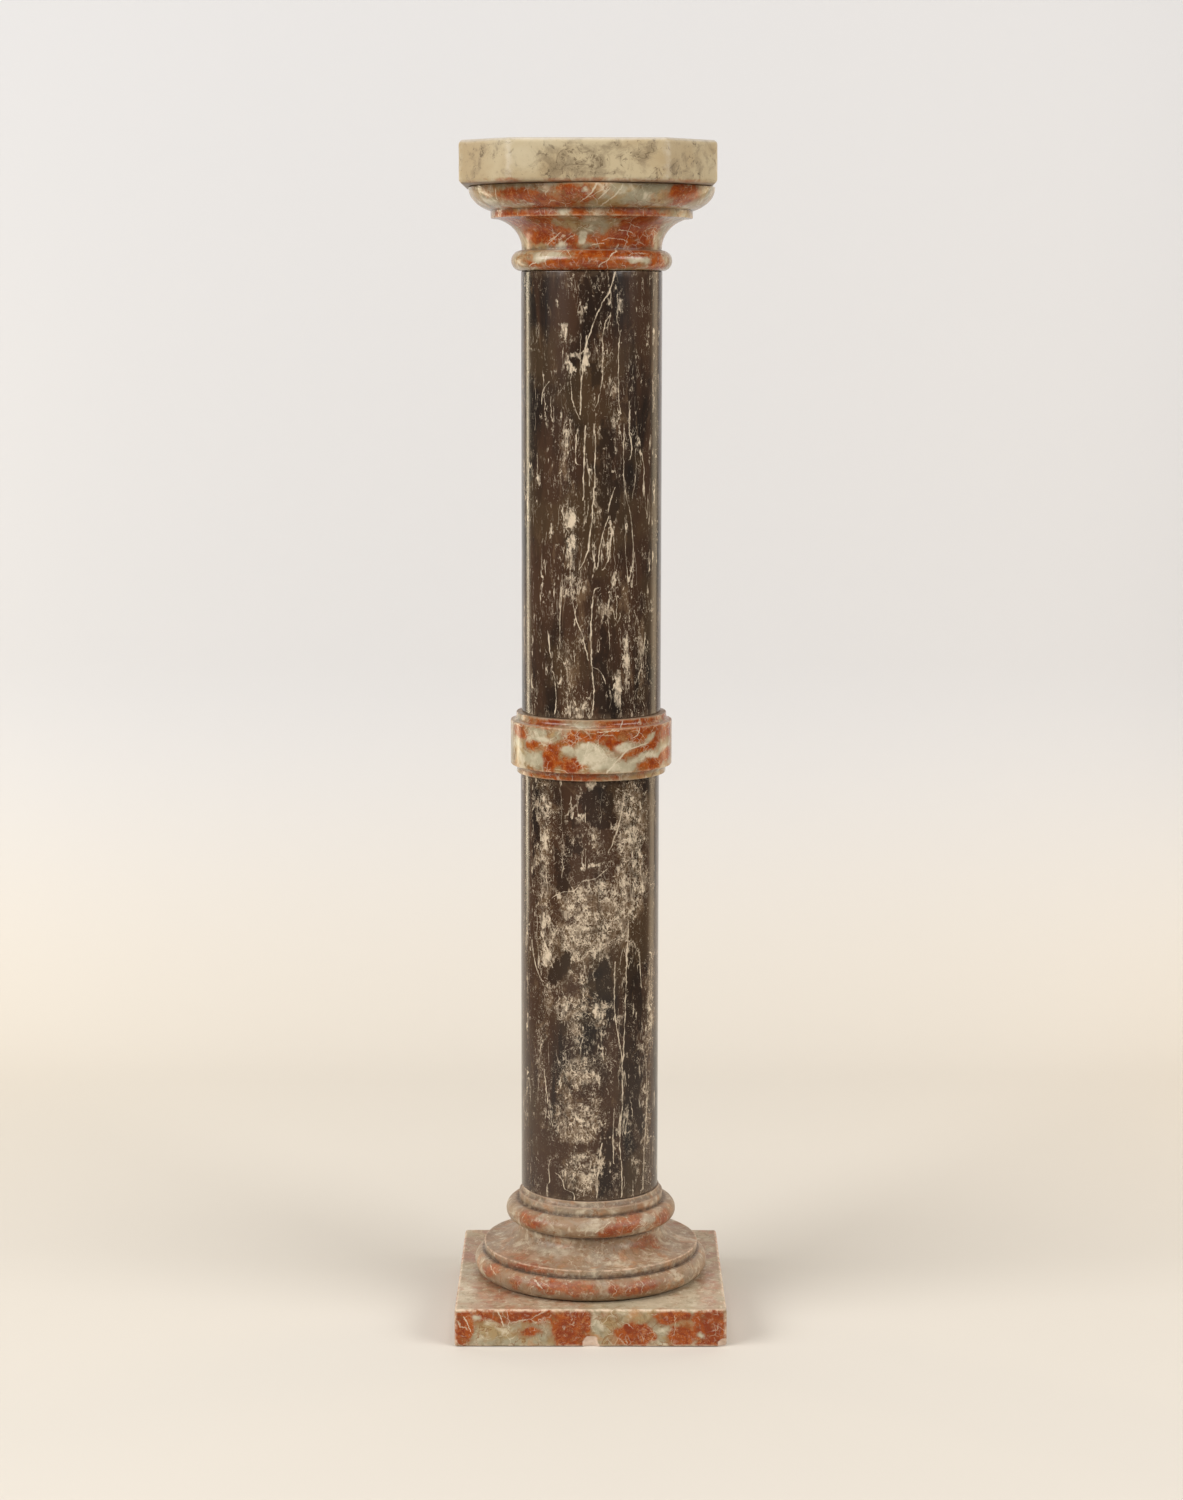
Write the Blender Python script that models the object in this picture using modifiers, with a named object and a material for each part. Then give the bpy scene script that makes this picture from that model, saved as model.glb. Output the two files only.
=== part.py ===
"""Marble column pedestal of seven stacked stones.

From the floor up: square plinth block, turned base, lower shaft drum, collar, upper shaft drum,
capital and top slab. Sizes are in metres, +Z is up, and the front faces -Y. The origin is the
middle of the block's underside, on the axis of the turned stones.
"""

import math

import bmesh
import bpy
from mathutils import Matrix, Vector

OBJECT_NAME = "marble_pedestal"

# Open bed joint between one stone and the next
BED_JOINT = 0.0003

# Sides of every turned stone
TURN_STEPS = 56

# Square plinth block: the margin is what it stands out beyond the base's lower torus
PLINTH_MARGIN = 0.0159
PLINTH_HEIGHT = 0.0384
PLINTH_ARRIS = 0.0028

# Chips broken out of the block's front bottom edge and its right front bottom corner
EDGE_CHIP_OFFSET = -0.0010
EDGE_CHIP_WIDTH = 0.0190
EDGE_CHIP_HEIGHT = 0.0115
EDGE_CHIP_DEPTH = 0.0045
CORNER_CHIP_SIZE = 0.0065
CHIP_STEPS = 2

# Shaft drums: the lower one stands a little to the left
SHAFT_RADIUS = 0.0698
SHAFT_ARRIS = 0.0006
LOWER_SHAFT_HEIGHT = 0.4280
LOWER_SHAFT_SHIFT = -0.0013
UPPER_SHAFT_HEIGHT = 0.4370

# Base, each member named from the bed up; every projection is measured out from the shaft
LOWER_TORUS_PROJECTION = 0.0493
LOWER_TORUS_HEIGHT = 0.0231
LOWER_FILLET_PROJECTION = 0.0397
LOWER_FILLET_HEIGHT = 0.0083
SCOTIA_LEDGE = 0.0010
SCOTIA_HEIGHT = 0.0173
MIDDLE_FILLET_PROJECTION = 0.0042
MIDDLE_FILLET_HEIGHT = 0.0066
UPPER_TORUS_PROJECTION = 0.0170
UPPER_TORUS_HEIGHT = 0.0204
TOP_FILLET_PROJECTION = 0.0036
TOP_FILLET_HEIGHT = 0.0093
APOPHYGE_HEIGHT = 0.0060

# Collar between the drums, from its foot up, with the same projections
COLLAR_FOOT_PROJECTION = 0.0051
COLLAR_FOOT_HEIGHT = 0.0033
COLLAR_COVE_HEIGHT = 0.0052
COLLAR_BAND_PROJECTION = 0.0113
COLLAR_BAND_HEIGHT = 0.0443
COLLAR_TOP_PROJECTION = 0.0055
COLLAR_TOP_HEIGHT = 0.0029
COLLAR_TOP_CHAMFER = 0.0010

# Capital from its bed up: the last three projections are each measured from the member below
ASTRAGAL_PROJECTION = 0.0097
ASTRAGAL_HEIGHT = 0.0200
NECK_INSET = 0.0006
NECK_HEIGHT = 0.0018
CAVETTO_REACH = 0.0340
CAVETTO_RISE = 0.0300
CAVETTO_SWEEP = math.radians(77.0)
CAPITAL_FILLET_PROJECTION = 0.0040
CAPITAL_FILLET_HEIGHT = 0.0075
OVOLO_FOOT_PROJECTION = 0.0010
OVOLO_PROJECTION = 0.0207
OVOLO_RISE = 0.0218
OVOLO_START = math.radians(28.0)
CAPITAL_RIM_HEIGHT = 0.0012

# Top slab: a square with its corners cut off, laid a little to the left, that hangs over the capital
SLAB_OVERHANG = 0.0029
SLAB_CORNER_CUT = 0.0492
SLAB_THICKNESS = 0.0414
SLAB_ARRIS = 0.0042
SLAB_SHIFT = -0.0036

# Straight stretches that stand for one quarter or one half of a round
QUARTER_STEPS = 6
HALF_STEPS = 9
SMALL_STEPS = 3

ARRIS_SEGMENTS = 3
ARRIS_ANGLE = math.radians(20.0)
SHARP_ANGLE = math.radians(35.0)
MERGE_DISTANCE = 0.00001

RED_MARBLE = (0.300, 0.090, 0.040, 1.0)
WORN_RED_MARBLE = (0.340, 0.210, 0.150, 1.0)
BLACK_MARBLE = (0.045, 0.032, 0.025, 1.0)
IVORY_MARBLE = (0.560, 0.460, 0.290, 1.0)

POLISHED_ROUGHNESS = 0.22
RUBBED_ROUGHNESS = 0.35
DULL_ROUGHNESS = 0.55


def empty_scene():
    """Remove the objects of the scene."""
    for item in list(bpy.data.objects):
        bpy.data.objects.remove(item, do_unlink=True)


def new_collection(name):
    """Return a new collection under the scene's own."""
    collection = bpy.data.collections.new(name)
    bpy.context.scene.collection.children.link(collection)
    return collection


def stone_material(name, colour, roughness):
    """Return a Principled BSDF material for one kind of marble."""
    material = bpy.data.materials.new(name)
    material.use_nodes = True
    material.diffuse_color = colour
    shader = material.node_tree.nodes["Principled BSDF"]
    shader.inputs["Base Color"].default_value = colour
    shader.inputs["Roughness"].default_value = roughness
    shader.inputs["Metallic"].default_value = 0.0
    return material


def arc(centre, radii, start, end, steps):
    """Return the points of an ellipse arc about centre, as (radius, height), both ends included."""
    points = []
    for index in range(steps + 1):
        angle = start + (end - start) * index / steps
        points.append((centre[0] + radii[0] * math.cos(angle), centre[1] + radii[1] * math.sin(angle)))
    return points


def half_round(outer_radius, bed, height):
    """Return the outline of a torus from its bed up: a half circle as high as the member."""
    swell = height / 2.0
    centre = (outer_radius - swell, bed + swell)
    return arc(centre, (swell, swell), -math.pi / 2.0, math.pi / 2.0, HALF_STEPS)


def cove(outer_radius, inner_radius, level, height, rising_outwards):
    """Return a hollow quarter round from level up, that rises outwards or draws back inwards."""
    radii = (outer_radius - inner_radius, height)
    if rising_outwards:
        return arc((outer_radius, level), radii, math.pi, math.pi / 2.0, SMALL_STEPS)
    return arc((outer_radius, level + height), radii, math.pi * 1.5, math.pi, SMALL_STEPS)


def base_profile():
    """Return the outline of the base from its bed up, as (radius, height)."""
    points = half_round(SHAFT_RADIUS + LOWER_TORUS_PROJECTION, 0.0, LOWER_TORUS_HEIGHT)
    level = LOWER_TORUS_HEIGHT
    lower_fillet = SHAFT_RADIUS + LOWER_FILLET_PROJECTION
    points.append((lower_fillet, level))
    level += LOWER_FILLET_HEIGHT
    points.append((lower_fillet, level))

    middle_fillet = SHAFT_RADIUS + MIDDLE_FILLET_PROJECTION
    foot = lower_fillet - SCOTIA_LEDGE
    centre = (foot, level + SCOTIA_HEIGHT)
    radii = (foot - middle_fillet, SCOTIA_HEIGHT)
    points += arc(centre, radii, math.pi * 1.5, math.pi, QUARTER_STEPS)
    level += SCOTIA_HEIGHT + MIDDLE_FILLET_HEIGHT
    points.append((middle_fillet, level))

    points += half_round(SHAFT_RADIUS + UPPER_TORUS_PROJECTION, level, UPPER_TORUS_HEIGHT)
    level += UPPER_TORUS_HEIGHT
    top_fillet = SHAFT_RADIUS + TOP_FILLET_PROJECTION
    points.append((top_fillet, level))
    level += TOP_FILLET_HEIGHT
    points += cove(top_fillet, SHAFT_RADIUS, level, APOPHYGE_HEIGHT, rising_outwards=False)
    return points


def shaft_profile(height):
    """Return the outline of a shaft drum with eased edges."""
    eased = SHAFT_RADIUS - SHAFT_ARRIS
    return [
        (eased, 0.0),
        (SHAFT_RADIUS, SHAFT_ARRIS),
        (SHAFT_RADIUS, height - SHAFT_ARRIS),
        (eased, height),
    ]


def collar_profile():
    """Return the outline of the collar: foot, cove, flat band, cove and top fillet."""
    foot = SHAFT_RADIUS + COLLAR_FOOT_PROJECTION
    band = SHAFT_RADIUS + COLLAR_BAND_PROJECTION
    top = SHAFT_RADIUS + COLLAR_TOP_PROJECTION
    level = COLLAR_FOOT_HEIGHT
    points = [(foot, 0.0)]
    points += cove(band, foot, level, COLLAR_COVE_HEIGHT, rising_outwards=True)
    level += COLLAR_COVE_HEIGHT + COLLAR_BAND_HEIGHT
    points += cove(band, top, level, COLLAR_COVE_HEIGHT, rising_outwards=False)
    level += COLLAR_COVE_HEIGHT + COLLAR_TOP_HEIGHT
    points.append((top, level - COLLAR_TOP_CHAMFER))
    points.append((top - COLLAR_TOP_CHAMFER, level))
    return points


def capital_profile():
    """Return the outline of the capital from its bed up: astragal, cavetto, fillet and ovolo."""
    points = half_round(SHAFT_RADIUS + ASTRAGAL_PROJECTION, 0.0, ASTRAGAL_HEIGHT)
    neck = SHAFT_RADIUS - NECK_INSET
    points.append((neck, ASTRAGAL_HEIGHT))

    centre = (neck + CAVETTO_REACH, ASTRAGAL_HEIGHT + NECK_HEIGHT)
    radii = (CAVETTO_REACH, CAVETTO_RISE)
    points += arc(centre, radii, math.pi, math.pi - CAVETTO_SWEEP, QUARTER_STEPS)
    fillet, level = points[-1]
    fillet += CAPITAL_FILLET_PROJECTION
    points.append((fillet, level))
    level += CAPITAL_FILLET_HEIGHT
    points.append((fillet, level))

    rim = fillet + OVOLO_FOOT_PROJECTION + OVOLO_PROJECTION
    radii = (OVOLO_PROJECTION / (1.0 - math.sin(OVOLO_START)), OVOLO_RISE / math.cos(OVOLO_START))
    centre = (rim - radii[0], level + OVOLO_RISE)
    points += arc(centre, radii, OVOLO_START - math.pi / 2.0, 0.0, QUARTER_STEPS)
    points.append((rim, level + OVOLO_RISE + CAPITAL_RIM_HEIGHT))
    return points


def turned_stone(collection, name, profile, bed, material, shift=0.0):
    """Turn a profile into a closed stone on the bed level, and return the level of its top."""
    height = profile[-1][1]
    outline = [(0.0, height)] + profile[::-1] + [(0.0, 0.0)]
    mesh = bpy.data.meshes.new(name)
    vertices = [(radius, 0.0, level) for radius, level in outline]
    edges = [(index, index + 1) for index in range(len(outline) - 1)]
    mesh.from_pydata(vertices, edges, [])
    mesh.materials.append(material)

    stone = bpy.data.objects.new(name, mesh)
    collection.objects.link(stone)
    screw = stone.modifiers.new("turn", "SCREW")
    screw.axis = "Z"
    screw.angle = 2.0 * math.pi
    screw.steps = TURN_STEPS
    screw.render_steps = TURN_STEPS
    screw.use_merge_vertices = True
    screw.merge_threshold = MERGE_DISTANCE
    turned = bpy.data.meshes.new_from_object(stone.evaluated_get(bpy.context.evaluated_depsgraph_get()))
    turned.name = name + "_turned"
    turned.shade_smooth()
    turned.set_sharp_from_angle(angle=SHARP_ANGLE)
    stone.modifiers.remove(screw)
    stone.data = turned
    stone.location = (shift, 0.0, bed)
    return bed + height


def block_object(collection, name, size, bed, material, shift=0.0, corner_cut=0.0):
    """Make a square block on the bed level, with its upright edges cut off where corner_cut is set."""
    shape = bmesh.new()
    bmesh.ops.create_cube(shape, size=1.0)
    bmesh.ops.scale(shape, vec=Vector(size), verts=shape.verts)
    bmesh.ops.translate(shape, vec=Vector((0.0, 0.0, size[2] / 2.0)), verts=shape.verts)
    if corner_cut > 0.0:
        upright = [edge for edge in shape.edges if abs(edge.verts[0].co.z - edge.verts[1].co.z) > 0.0]
        bmesh.ops.bevel(
            shape, geom=upright, offset=corner_cut, offset_type="OFFSET", segments=1, profile=0.5,
            affect="EDGES", material=-1,
        )
    mesh = bpy.data.meshes.new(name)
    shape.to_mesh(mesh)
    shape.free()
    mesh.materials.append(material)

    block = bpy.data.objects.new(name, mesh)
    block.location = (shift, 0.0, bed)
    collection.objects.link(block)
    return block


def ease_edges(block, width):
    """Round every edge of a block."""
    bevel = block.modifiers.new("arris", "BEVEL")
    bevel.width = width
    bevel.segments = ARRIS_SEGMENTS
    bevel.limit_method = "ANGLE"
    bevel.angle_limit = ARRIS_ANGLE


def chip_cutter(collection, name, centre, size):
    """Make the blunt lump that breaks one chip out of a stone."""
    shape = bmesh.new()
    placed = Matrix.Translation(centre) @ Matrix.Diagonal((*size, 1.0))
    bmesh.ops.create_icosphere(shape, subdivisions=CHIP_STEPS, radius=1.0, matrix=placed)
    mesh = bpy.data.meshes.new(name)
    shape.to_mesh(mesh)
    shape.free()
    cutter = bpy.data.objects.new(name, mesh)
    cutter.hide_render = True
    cutter.display_type = "WIRE"
    collection.objects.link(cutter)
    return cutter


def break_out(stone, cutter):
    """Take the shape of a cutter out of a stone."""
    cut = stone.modifiers.new(cutter.name, "BOOLEAN")
    cut.operation = "DIFFERENCE"
    cut.solver = "EXACT"
    cut.object = cutter


def make_plinth_block(collection, cutters, material):
    """Make the square block with its chips, and return the level of its top."""
    reach = SHAFT_RADIUS + LOWER_TORUS_PROJECTION + PLINTH_MARGIN
    size = (2.0 * reach, 2.0 * reach, PLINTH_HEIGHT)
    block = block_object(collection, "plinth_block", size, 0.0, material)
    ease_edges(block, PLINTH_ARRIS)
    edge_chip = chip_cutter(
        cutters, "edge_chip", Vector((EDGE_CHIP_OFFSET, -reach, 0.0)),
        (EDGE_CHIP_WIDTH / 2.0, EDGE_CHIP_DEPTH, EDGE_CHIP_HEIGHT),
    )
    corner_chip = chip_cutter(
        cutters, "corner_chip", Vector((reach, -reach, 0.0)), (CORNER_CHIP_SIZE,) * 3
    )
    break_out(block, edge_chip)
    break_out(block, corner_chip)
    return PLINTH_HEIGHT


def make_top_slab(collection, bed, capital_radius, material):
    """Make the slab with its cut corners and eased edges, a little wider than the capital."""
    width = 2.0 * (capital_radius + SLAB_OVERHANG)
    slab = block_object(
        collection, "top_slab", (width, width, SLAB_THICKNESS), bed, material,
        shift=SLAB_SHIFT, corner_cut=SLAB_CORNER_CUT,
    )
    ease_edges(slab, SLAB_ARRIS)


def main():
    """Build the pedestal from the floor up."""
    empty_scene()
    stones = new_collection(OBJECT_NAME)
    cutters = new_collection(OBJECT_NAME + "_cutters")

    block_red = stone_material("block_red_marble", RED_MARBLE, RUBBED_ROUGHNESS)
    worn_red = stone_material("worn_red_marble", WORN_RED_MARBLE, DULL_ROUGHNESS)
    lower_black = stone_material("lower_black_marble", BLACK_MARBLE, POLISHED_ROUGHNESS)
    collar_red = stone_material("collar_red_marble", RED_MARBLE, POLISHED_ROUGHNESS)
    upper_black = stone_material("upper_black_marble", BLACK_MARBLE, POLISHED_ROUGHNESS)
    capital_red = stone_material("capital_red_marble", RED_MARBLE, POLISHED_ROUGHNESS)
    ivory = stone_material("ivory_marble", IVORY_MARBLE, RUBBED_ROUGHNESS)

    level = make_plinth_block(stones, cutters, block_red) + BED_JOINT
    level = turned_stone(stones, "base", base_profile(), level, worn_red) + BED_JOINT
    drum = shaft_profile(LOWER_SHAFT_HEIGHT)
    level = turned_stone(stones, "lower_shaft", drum, level, lower_black, LOWER_SHAFT_SHIFT) + BED_JOINT
    level = turned_stone(stones, "collar", collar_profile(), level, collar_red) + BED_JOINT
    drum = shaft_profile(UPPER_SHAFT_HEIGHT)
    level = turned_stone(stones, "upper_shaft", drum, level, upper_black) + BED_JOINT
    capital = capital_profile()
    level = turned_stone(stones, "capital", capital, level, capital_red) + BED_JOINT
    make_top_slab(stones, level, capital[-1][0], ivory)


main()
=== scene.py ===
"""Marble column pedestal: seven stacked stones in red, near-black and ivory marble.

Every stone of the frame is made again at the same size, with finely turned mouldings, eased and
chipped arrises, and a marble whose lumps, clouds and veins lie where the real stone has them.
Lengths are metres, and those in marks, veins and chips millimetres; +Z is up, the front faces -Y.
"""

import logging
import math
from dataclasses import dataclass, field
from enum import Enum
from typing import Callable, Optional, Sequence, Union

import bmesh
import bpy
from mathutils import Matrix, Vector, noise


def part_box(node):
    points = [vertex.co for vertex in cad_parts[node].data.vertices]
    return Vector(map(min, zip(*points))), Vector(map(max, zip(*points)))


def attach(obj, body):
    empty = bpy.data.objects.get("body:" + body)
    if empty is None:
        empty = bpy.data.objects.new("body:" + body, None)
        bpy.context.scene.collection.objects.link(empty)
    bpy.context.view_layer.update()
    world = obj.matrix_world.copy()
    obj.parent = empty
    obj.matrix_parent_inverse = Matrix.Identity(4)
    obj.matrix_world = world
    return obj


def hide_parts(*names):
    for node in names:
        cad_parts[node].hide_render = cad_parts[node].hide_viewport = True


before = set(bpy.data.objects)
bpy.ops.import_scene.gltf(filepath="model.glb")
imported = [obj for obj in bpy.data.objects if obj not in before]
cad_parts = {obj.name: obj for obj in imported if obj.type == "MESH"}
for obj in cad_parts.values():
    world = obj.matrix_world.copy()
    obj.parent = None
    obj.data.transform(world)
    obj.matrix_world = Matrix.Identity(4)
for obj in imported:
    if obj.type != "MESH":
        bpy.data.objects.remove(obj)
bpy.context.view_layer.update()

BODY = "root"

MM = 0.001
Number = Union[int, float]
Point = tuple[float, float]
Colour = tuple[float, float, float, float]

log = logging.getLogger("pedestal")


def srgb(red: float, green: float, blue: float) -> Colour:
    """Turn a colour given as 0 to 255 on a screen into the linear one that a shader takes.

    Args:
        red: the red share.
        green: the green share.
        blue: the blue share.

    Returns:
        The linear colour with full alpha.
    """
    def linear(share: float) -> float:
        """Undo the screen's transfer curve for one share."""
        share /= 255.0
        return share / 12.92 if share <= 0.04045 else ((share + 0.055) / 1.055) ** 2.4

    return (linear(red), linear(green), linear(blue), 1.0)


class Graph:
    """Node tree of one material, with its nodes added by type."""

    relief_depth = 0.3 * MM
    refraction = 1.46
    gloss = 0.36

    def __init__(self, name: str) -> None:
        """Make an empty material.

        Args:
            name: the material's name.
        """
        self.material = bpy.data.materials.new(name)
        self.material.use_nodes = True
        self.tree = self.material.node_tree
        self.tree.nodes.clear()

    def feed(self, socket: bpy.types.NodeSocket, value: object) -> None:
        """Link a value to a socket, or set it there.

        Args:
            socket: the input socket.
            value: a Value, an output socket, a number or a tuple.
        """
        if isinstance(value, Value):
            value = value.socket
        if isinstance(value, bpy.types.NodeSocket):
            self.tree.links.new(value, socket)
        else:
            socket.default_value = value

    def add(self, kind: str, settings: Optional[dict] = None,
            sockets: Optional[dict] = None) -> bpy.types.Node:
        """Add a node of any type.

        Args:
            kind: the node's type name.
            settings: attributes that are set first.
            sockets: values or links by input name or number.

        Returns:
            The new node.
        """
        node = self.tree.nodes.new(kind)
        for name, value in (settings or {}).items():
            setattr(node, name, value)
        for key, value in (sockets or {}).items():
            self.feed(node.inputs[key], value)
        return node

    def value(self, node: bpy.types.Node, output: Union[int, str] = 0) -> "Value":
        """Wrap one output of a node."""
        return Value(self, node.outputs[output])

    def place(self) -> "Value":
        """Return the place on the piece, in metres."""
        return self.value(self.add("ShaderNodeTexCoord"), "Object")

    def upwards(self) -> "Value":
        """Return how far the surface faces up, from -1 to 1."""
        return self.value(self.add("ShaderNodeNewGeometry"), "Normal").part("Z")

    def attribute(self, name: str) -> "Value":
        """Return a number that the mesh carries."""
        return self.value(self.add("ShaderNodeAttribute", {"attribute_name": name}), "Fac")

    def vector(self, operation: str, *inputs: object) -> "Value":
        """Add a Vector Math node and return its vector."""
        settings = {"operation": operation}
        return self.value(self.add("ShaderNodeVectorMath", settings, dict(enumerate(inputs))))

    def joined(self, x: object, y: object, z: object) -> "Value":
        """Join three numbers to a vector."""
        return self.value(self.add("ShaderNodeCombineXYZ", None, {0: x, 1: y, 2: z}))

    def noise(self, vector: "Value", scale: float, detail: float = 3.0, roughness: float = 0.5,
              distortion: float = 0.0) -> "Value":
        """Return cloudy noise, about 0.5 in the middle.

        Args:
            vector: where it is read.
            scale: clouds a metre.
            detail: octaves.
            roughness: how strong the finer octaves are.
            distortion: how far the clouds are swirled.

        Returns:
            The noise.
        """
        sockets = {
            "Vector": vector, "Scale": scale, "Detail": detail, "Roughness": roughness,
            "Distortion": distortion,
        }
        return self.value(self.add("ShaderNodeTexNoise", None, sockets), 0)

    def warp(self, vector: "Value", scale: float, reach: float, detail: float = 4.0,
             roughness: float = 0.6) -> "Value":
        """Push a place about by coloured noise.

        Args:
            vector: the place.
            scale: swirls a metre.
            reach: the push in metres where the noise is strongest.
            detail: octaves.
            roughness: how strong the finer octaves are.

        Returns:
            The moved place.
        """
        sockets = {"Vector": vector, "Scale": scale, "Detail": detail, "Roughness": roughness}
        colour = self.value(self.add("ShaderNodeTexNoise", None, sockets), 1)
        centred = self.vector("SUBTRACT", colour, (0.5, 0.5, 0.5))
        return self.vector("MULTIPLY_ADD", centred, (reach, reach, reach), vector)

    def cells(self, vector: "Value", scale: float) -> "Value":
        """Return how far a place lies from the nearest edge between cells, as a share of a cell."""
        settings = {"feature": "DISTANCE_TO_EDGE"}
        node = self.add("ShaderNodeTexVoronoi", settings, {"Vector": vector, "Scale": scale})
        return self.value(node, "Distance")

    def cracks(self, vector: "Value", scale: float, width: float) -> "Value":
        """Return a net of thin lines, 1 on a line and 0 off it.

        Args:
            vector: where it is read.
            scale: cells a metre.
            width: half a line's width as a share of a cell.

        Returns:
            The net.
        """
        return 1.0 - self.cells(vector, scale).rise(width * 0.3, width)

    def squiggles(self, vector: "Value", scale: float, width: float, swirl: float = 1.5) -> "Value":
        """Return thin curly lines, 1 on a line and 0 off it.

        Args:
            vector: where they are read.
            scale: curls a metre.
            width: half a line's width, as a share of the noise that they follow.
            swirl: how curly they are.

        Returns:
            The lines.
        """
        return 1.0 - abs(self.noise(vector, scale, 3.0, 0.5, swirl) - 0.5).rise(width * 0.4, width)

    def web(self, vector: "Value", scale: float, thin: float, thick: float) -> "Value":
        """Return a net whose lines swell here and there into clumps, 1 on it and 0 off it.

        Args:
            vector: where it is read.
            scale: cells a metre.
            thin: half a line's width where it is thinnest, as a share of a cell.
            thick: half its width where it is thickest.

        Returns:
            The net.
        """
        distance = self.cells(vector, scale)
        swell = self.noise(vector, scale * 1.7, 4.0, 0.65).rise(0.36, 0.66)
        return 1.0 - (distance - swell.scaled(thick - thin, thin)).rise(-0.03, 0.03)

    def curve(self, value: "Value", points: Sequence[Point]) -> "Value":
        """Read a smooth curve at a value.

        Args:
            value: where it is read, from 0 to 1.
            points: the curve's points, from 0 to 1 both ways, ends included.

        Returns:
            The curve's height there.
        """
        node = self.add("ShaderNodeFloatCurve", None, {"Value": value})
        line = node.mapping.curves[0]
        line.points[0].location, line.points[1].location = points[0], points[-1]
        for point in points[1:-1]:
            line.points.new(*point)
        node.mapping.update()
        return self.value(node)

    def mix(self, factor: object, low: object, high: object) -> "Value":
        """Blend two colours.

        Args:
            factor: 0 for the low colour and 1 for the high one.
            low: the first colour.
            high: the second colour.

        Returns:
            The blended colour.
        """
        node = self.add("ShaderNodeMix", {"data_type": "RGBA"}, {0: factor, 6: low, 7: high})
        return self.value(node, 2)

    def surface(self, colour: "Value", rough: "Value", height: "Value",
                relief: float) -> bpy.types.Material:
        """Join colour, gloss and fine relief to the surface shader.

        Args:
            colour: the base colour.
            rough: the roughness.
            height: the relief's height, about 0 to 1.
            relief: how strongly it shows.

        Returns:
            The finished material.
        """
        sockets = {"Strength": relief, "Distance": self.relief_depth, "Height": height}
        bump = self.add("ShaderNodeBump", None, sockets)
        sockets = {
            "Base Color": colour, "Roughness": rough, "IOR": self.refraction,
            "Specular IOR Level": self.gloss, "Normal": bump.outputs[0],
        }
        shader = self.add("ShaderNodeBsdfPrincipled", None, sockets)
        self.add("ShaderNodeOutputMaterial", None, {"Surface": shader.outputs[0]})
        return self.material


class Value:
    """A number or vector in a node tree that takes part in Python expressions."""

    def __init__(self, graph: Graph, socket: bpy.types.NodeSocket) -> None:
        """Wrap an output socket."""
        self.graph = graph
        self.socket = socket

    def _math(self, operation: str, *inputs: object, clamp: bool = False) -> "Value":
        """Add a Math node."""
        settings = {"operation": operation, "use_clamp": clamp}
        return self.graph.value(self.graph.add("ShaderNodeMath", settings, dict(enumerate(inputs))))

    def __add__(self, other: object) -> "Value":
        """Add."""
        return self._math("ADD", self, other)

    __radd__ = __add__

    def __sub__(self, other: object) -> "Value":
        """Subtract."""
        return self._math("SUBTRACT", self, other)

    def __rsub__(self, other: object) -> "Value":
        """Subtract this from the other."""
        return self._math("SUBTRACT", other, self)

    def __mul__(self, other: object) -> "Value":
        """Multiply."""
        return self._math("MULTIPLY", self, other)

    __rmul__ = __mul__

    def __truediv__(self, other: object) -> "Value":
        """Divide."""
        return self._math("DIVIDE", self, other)

    def __abs__(self) -> "Value":
        """Drop the sign."""
        return self._math("ABSOLUTE", self)

    def scaled(self, factor: object, offset: object) -> "Value":
        """Multiply and add in one step."""
        return self._math("MULTIPLY_ADD", self, factor, offset)

    def root(self) -> "Value":
        """Return the square root."""
        return self._math("SQRT", self)

    def lesser(self, other: object) -> "Value":
        """Return the smaller of two."""
        return self._math("MINIMUM", self, other)

    def greater(self, other: object) -> "Value":
        """Return the larger of two."""
        return self._math("MAXIMUM", self, other)

    def melted(self, other: object, distance: float) -> "Value":
        """Return the smaller of two, rounded off where they are close."""
        return self._math("SMOOTH_MIN", self, other, distance)

    def sign(self) -> "Value":
        """Return -1, 0 or 1."""
        return self._math("SIGN", self)

    def bearing(self, other: object) -> "Value":
        """Return the angle whose sine goes with this and whose cosine goes with the other."""
        return self._math("ARCTAN2", self, other)

    def clamped(self) -> "Value":
        """Keep it between 0 and 1."""
        return self._math("ADD", self, 0.0, clamp=True)

    def rise(self, low: Number, high: Number) -> "Value":
        """Go smoothly from 0 at low to 1 at high."""
        sockets = {"Value": self, "From Min": low, "From Max": high}
        node = self.graph.add("ShaderNodeMapRange", {"interpolation_type": "SMOOTHSTEP"}, sockets)
        return self.graph.value(node)

    def stretched(self, x: float, y: float, z: float) -> "Value":
        """Scale a vector along each axis."""
        return self.graph.vector("MULTIPLY", self, (x, y, z))

    def shifted(self, x: float, y: float, z: float) -> "Value":
        """Move a vector."""
        return self.graph.vector("ADD", self, (x, y, z))

    def length(self) -> "Value":
        """Return a vector's length."""
        node = self.graph.add("ShaderNodeVectorMath", {"operation": "LENGTH"}, {0: self})
        return self.graph.value(node, "Value")

    def along(self, way: tuple[float, float, float]) -> "Value":
        """Return a vector's dot product with another."""
        node = self.graph.add("ShaderNodeVectorMath", {"operation": "DOT_PRODUCT"}, {0: self, 1: way})
        return self.graph.value(node, "Value")

    def part(self, axis: str) -> "Value":
        """Return a vector's X, Y or Z."""
        return self.graph.value(self.graph.add("ShaderNodeSeparateXYZ", None, {0: self}), axis)


@dataclass(frozen=True)
class Mark:
    """A lump in the marble, told by where it comes out of the stone's front.

    Attributes:
        around: degrees to the right of the front on a turned stone, millimetres on a block.
        up: millimetres above the stone's bed.
        wide: width in millimetres.
        high: height in millimetres.
        lean: degrees that its top leans to the right.
    """

    around: float
    up: float
    wide: float
    high: float
    lean: float = 0.0


@dataclass(frozen=True)
class Vein:
    """A thin seam through a row of places, given as around and up like a mark's."""

    width: float
    path: tuple[Point, ...]


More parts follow.
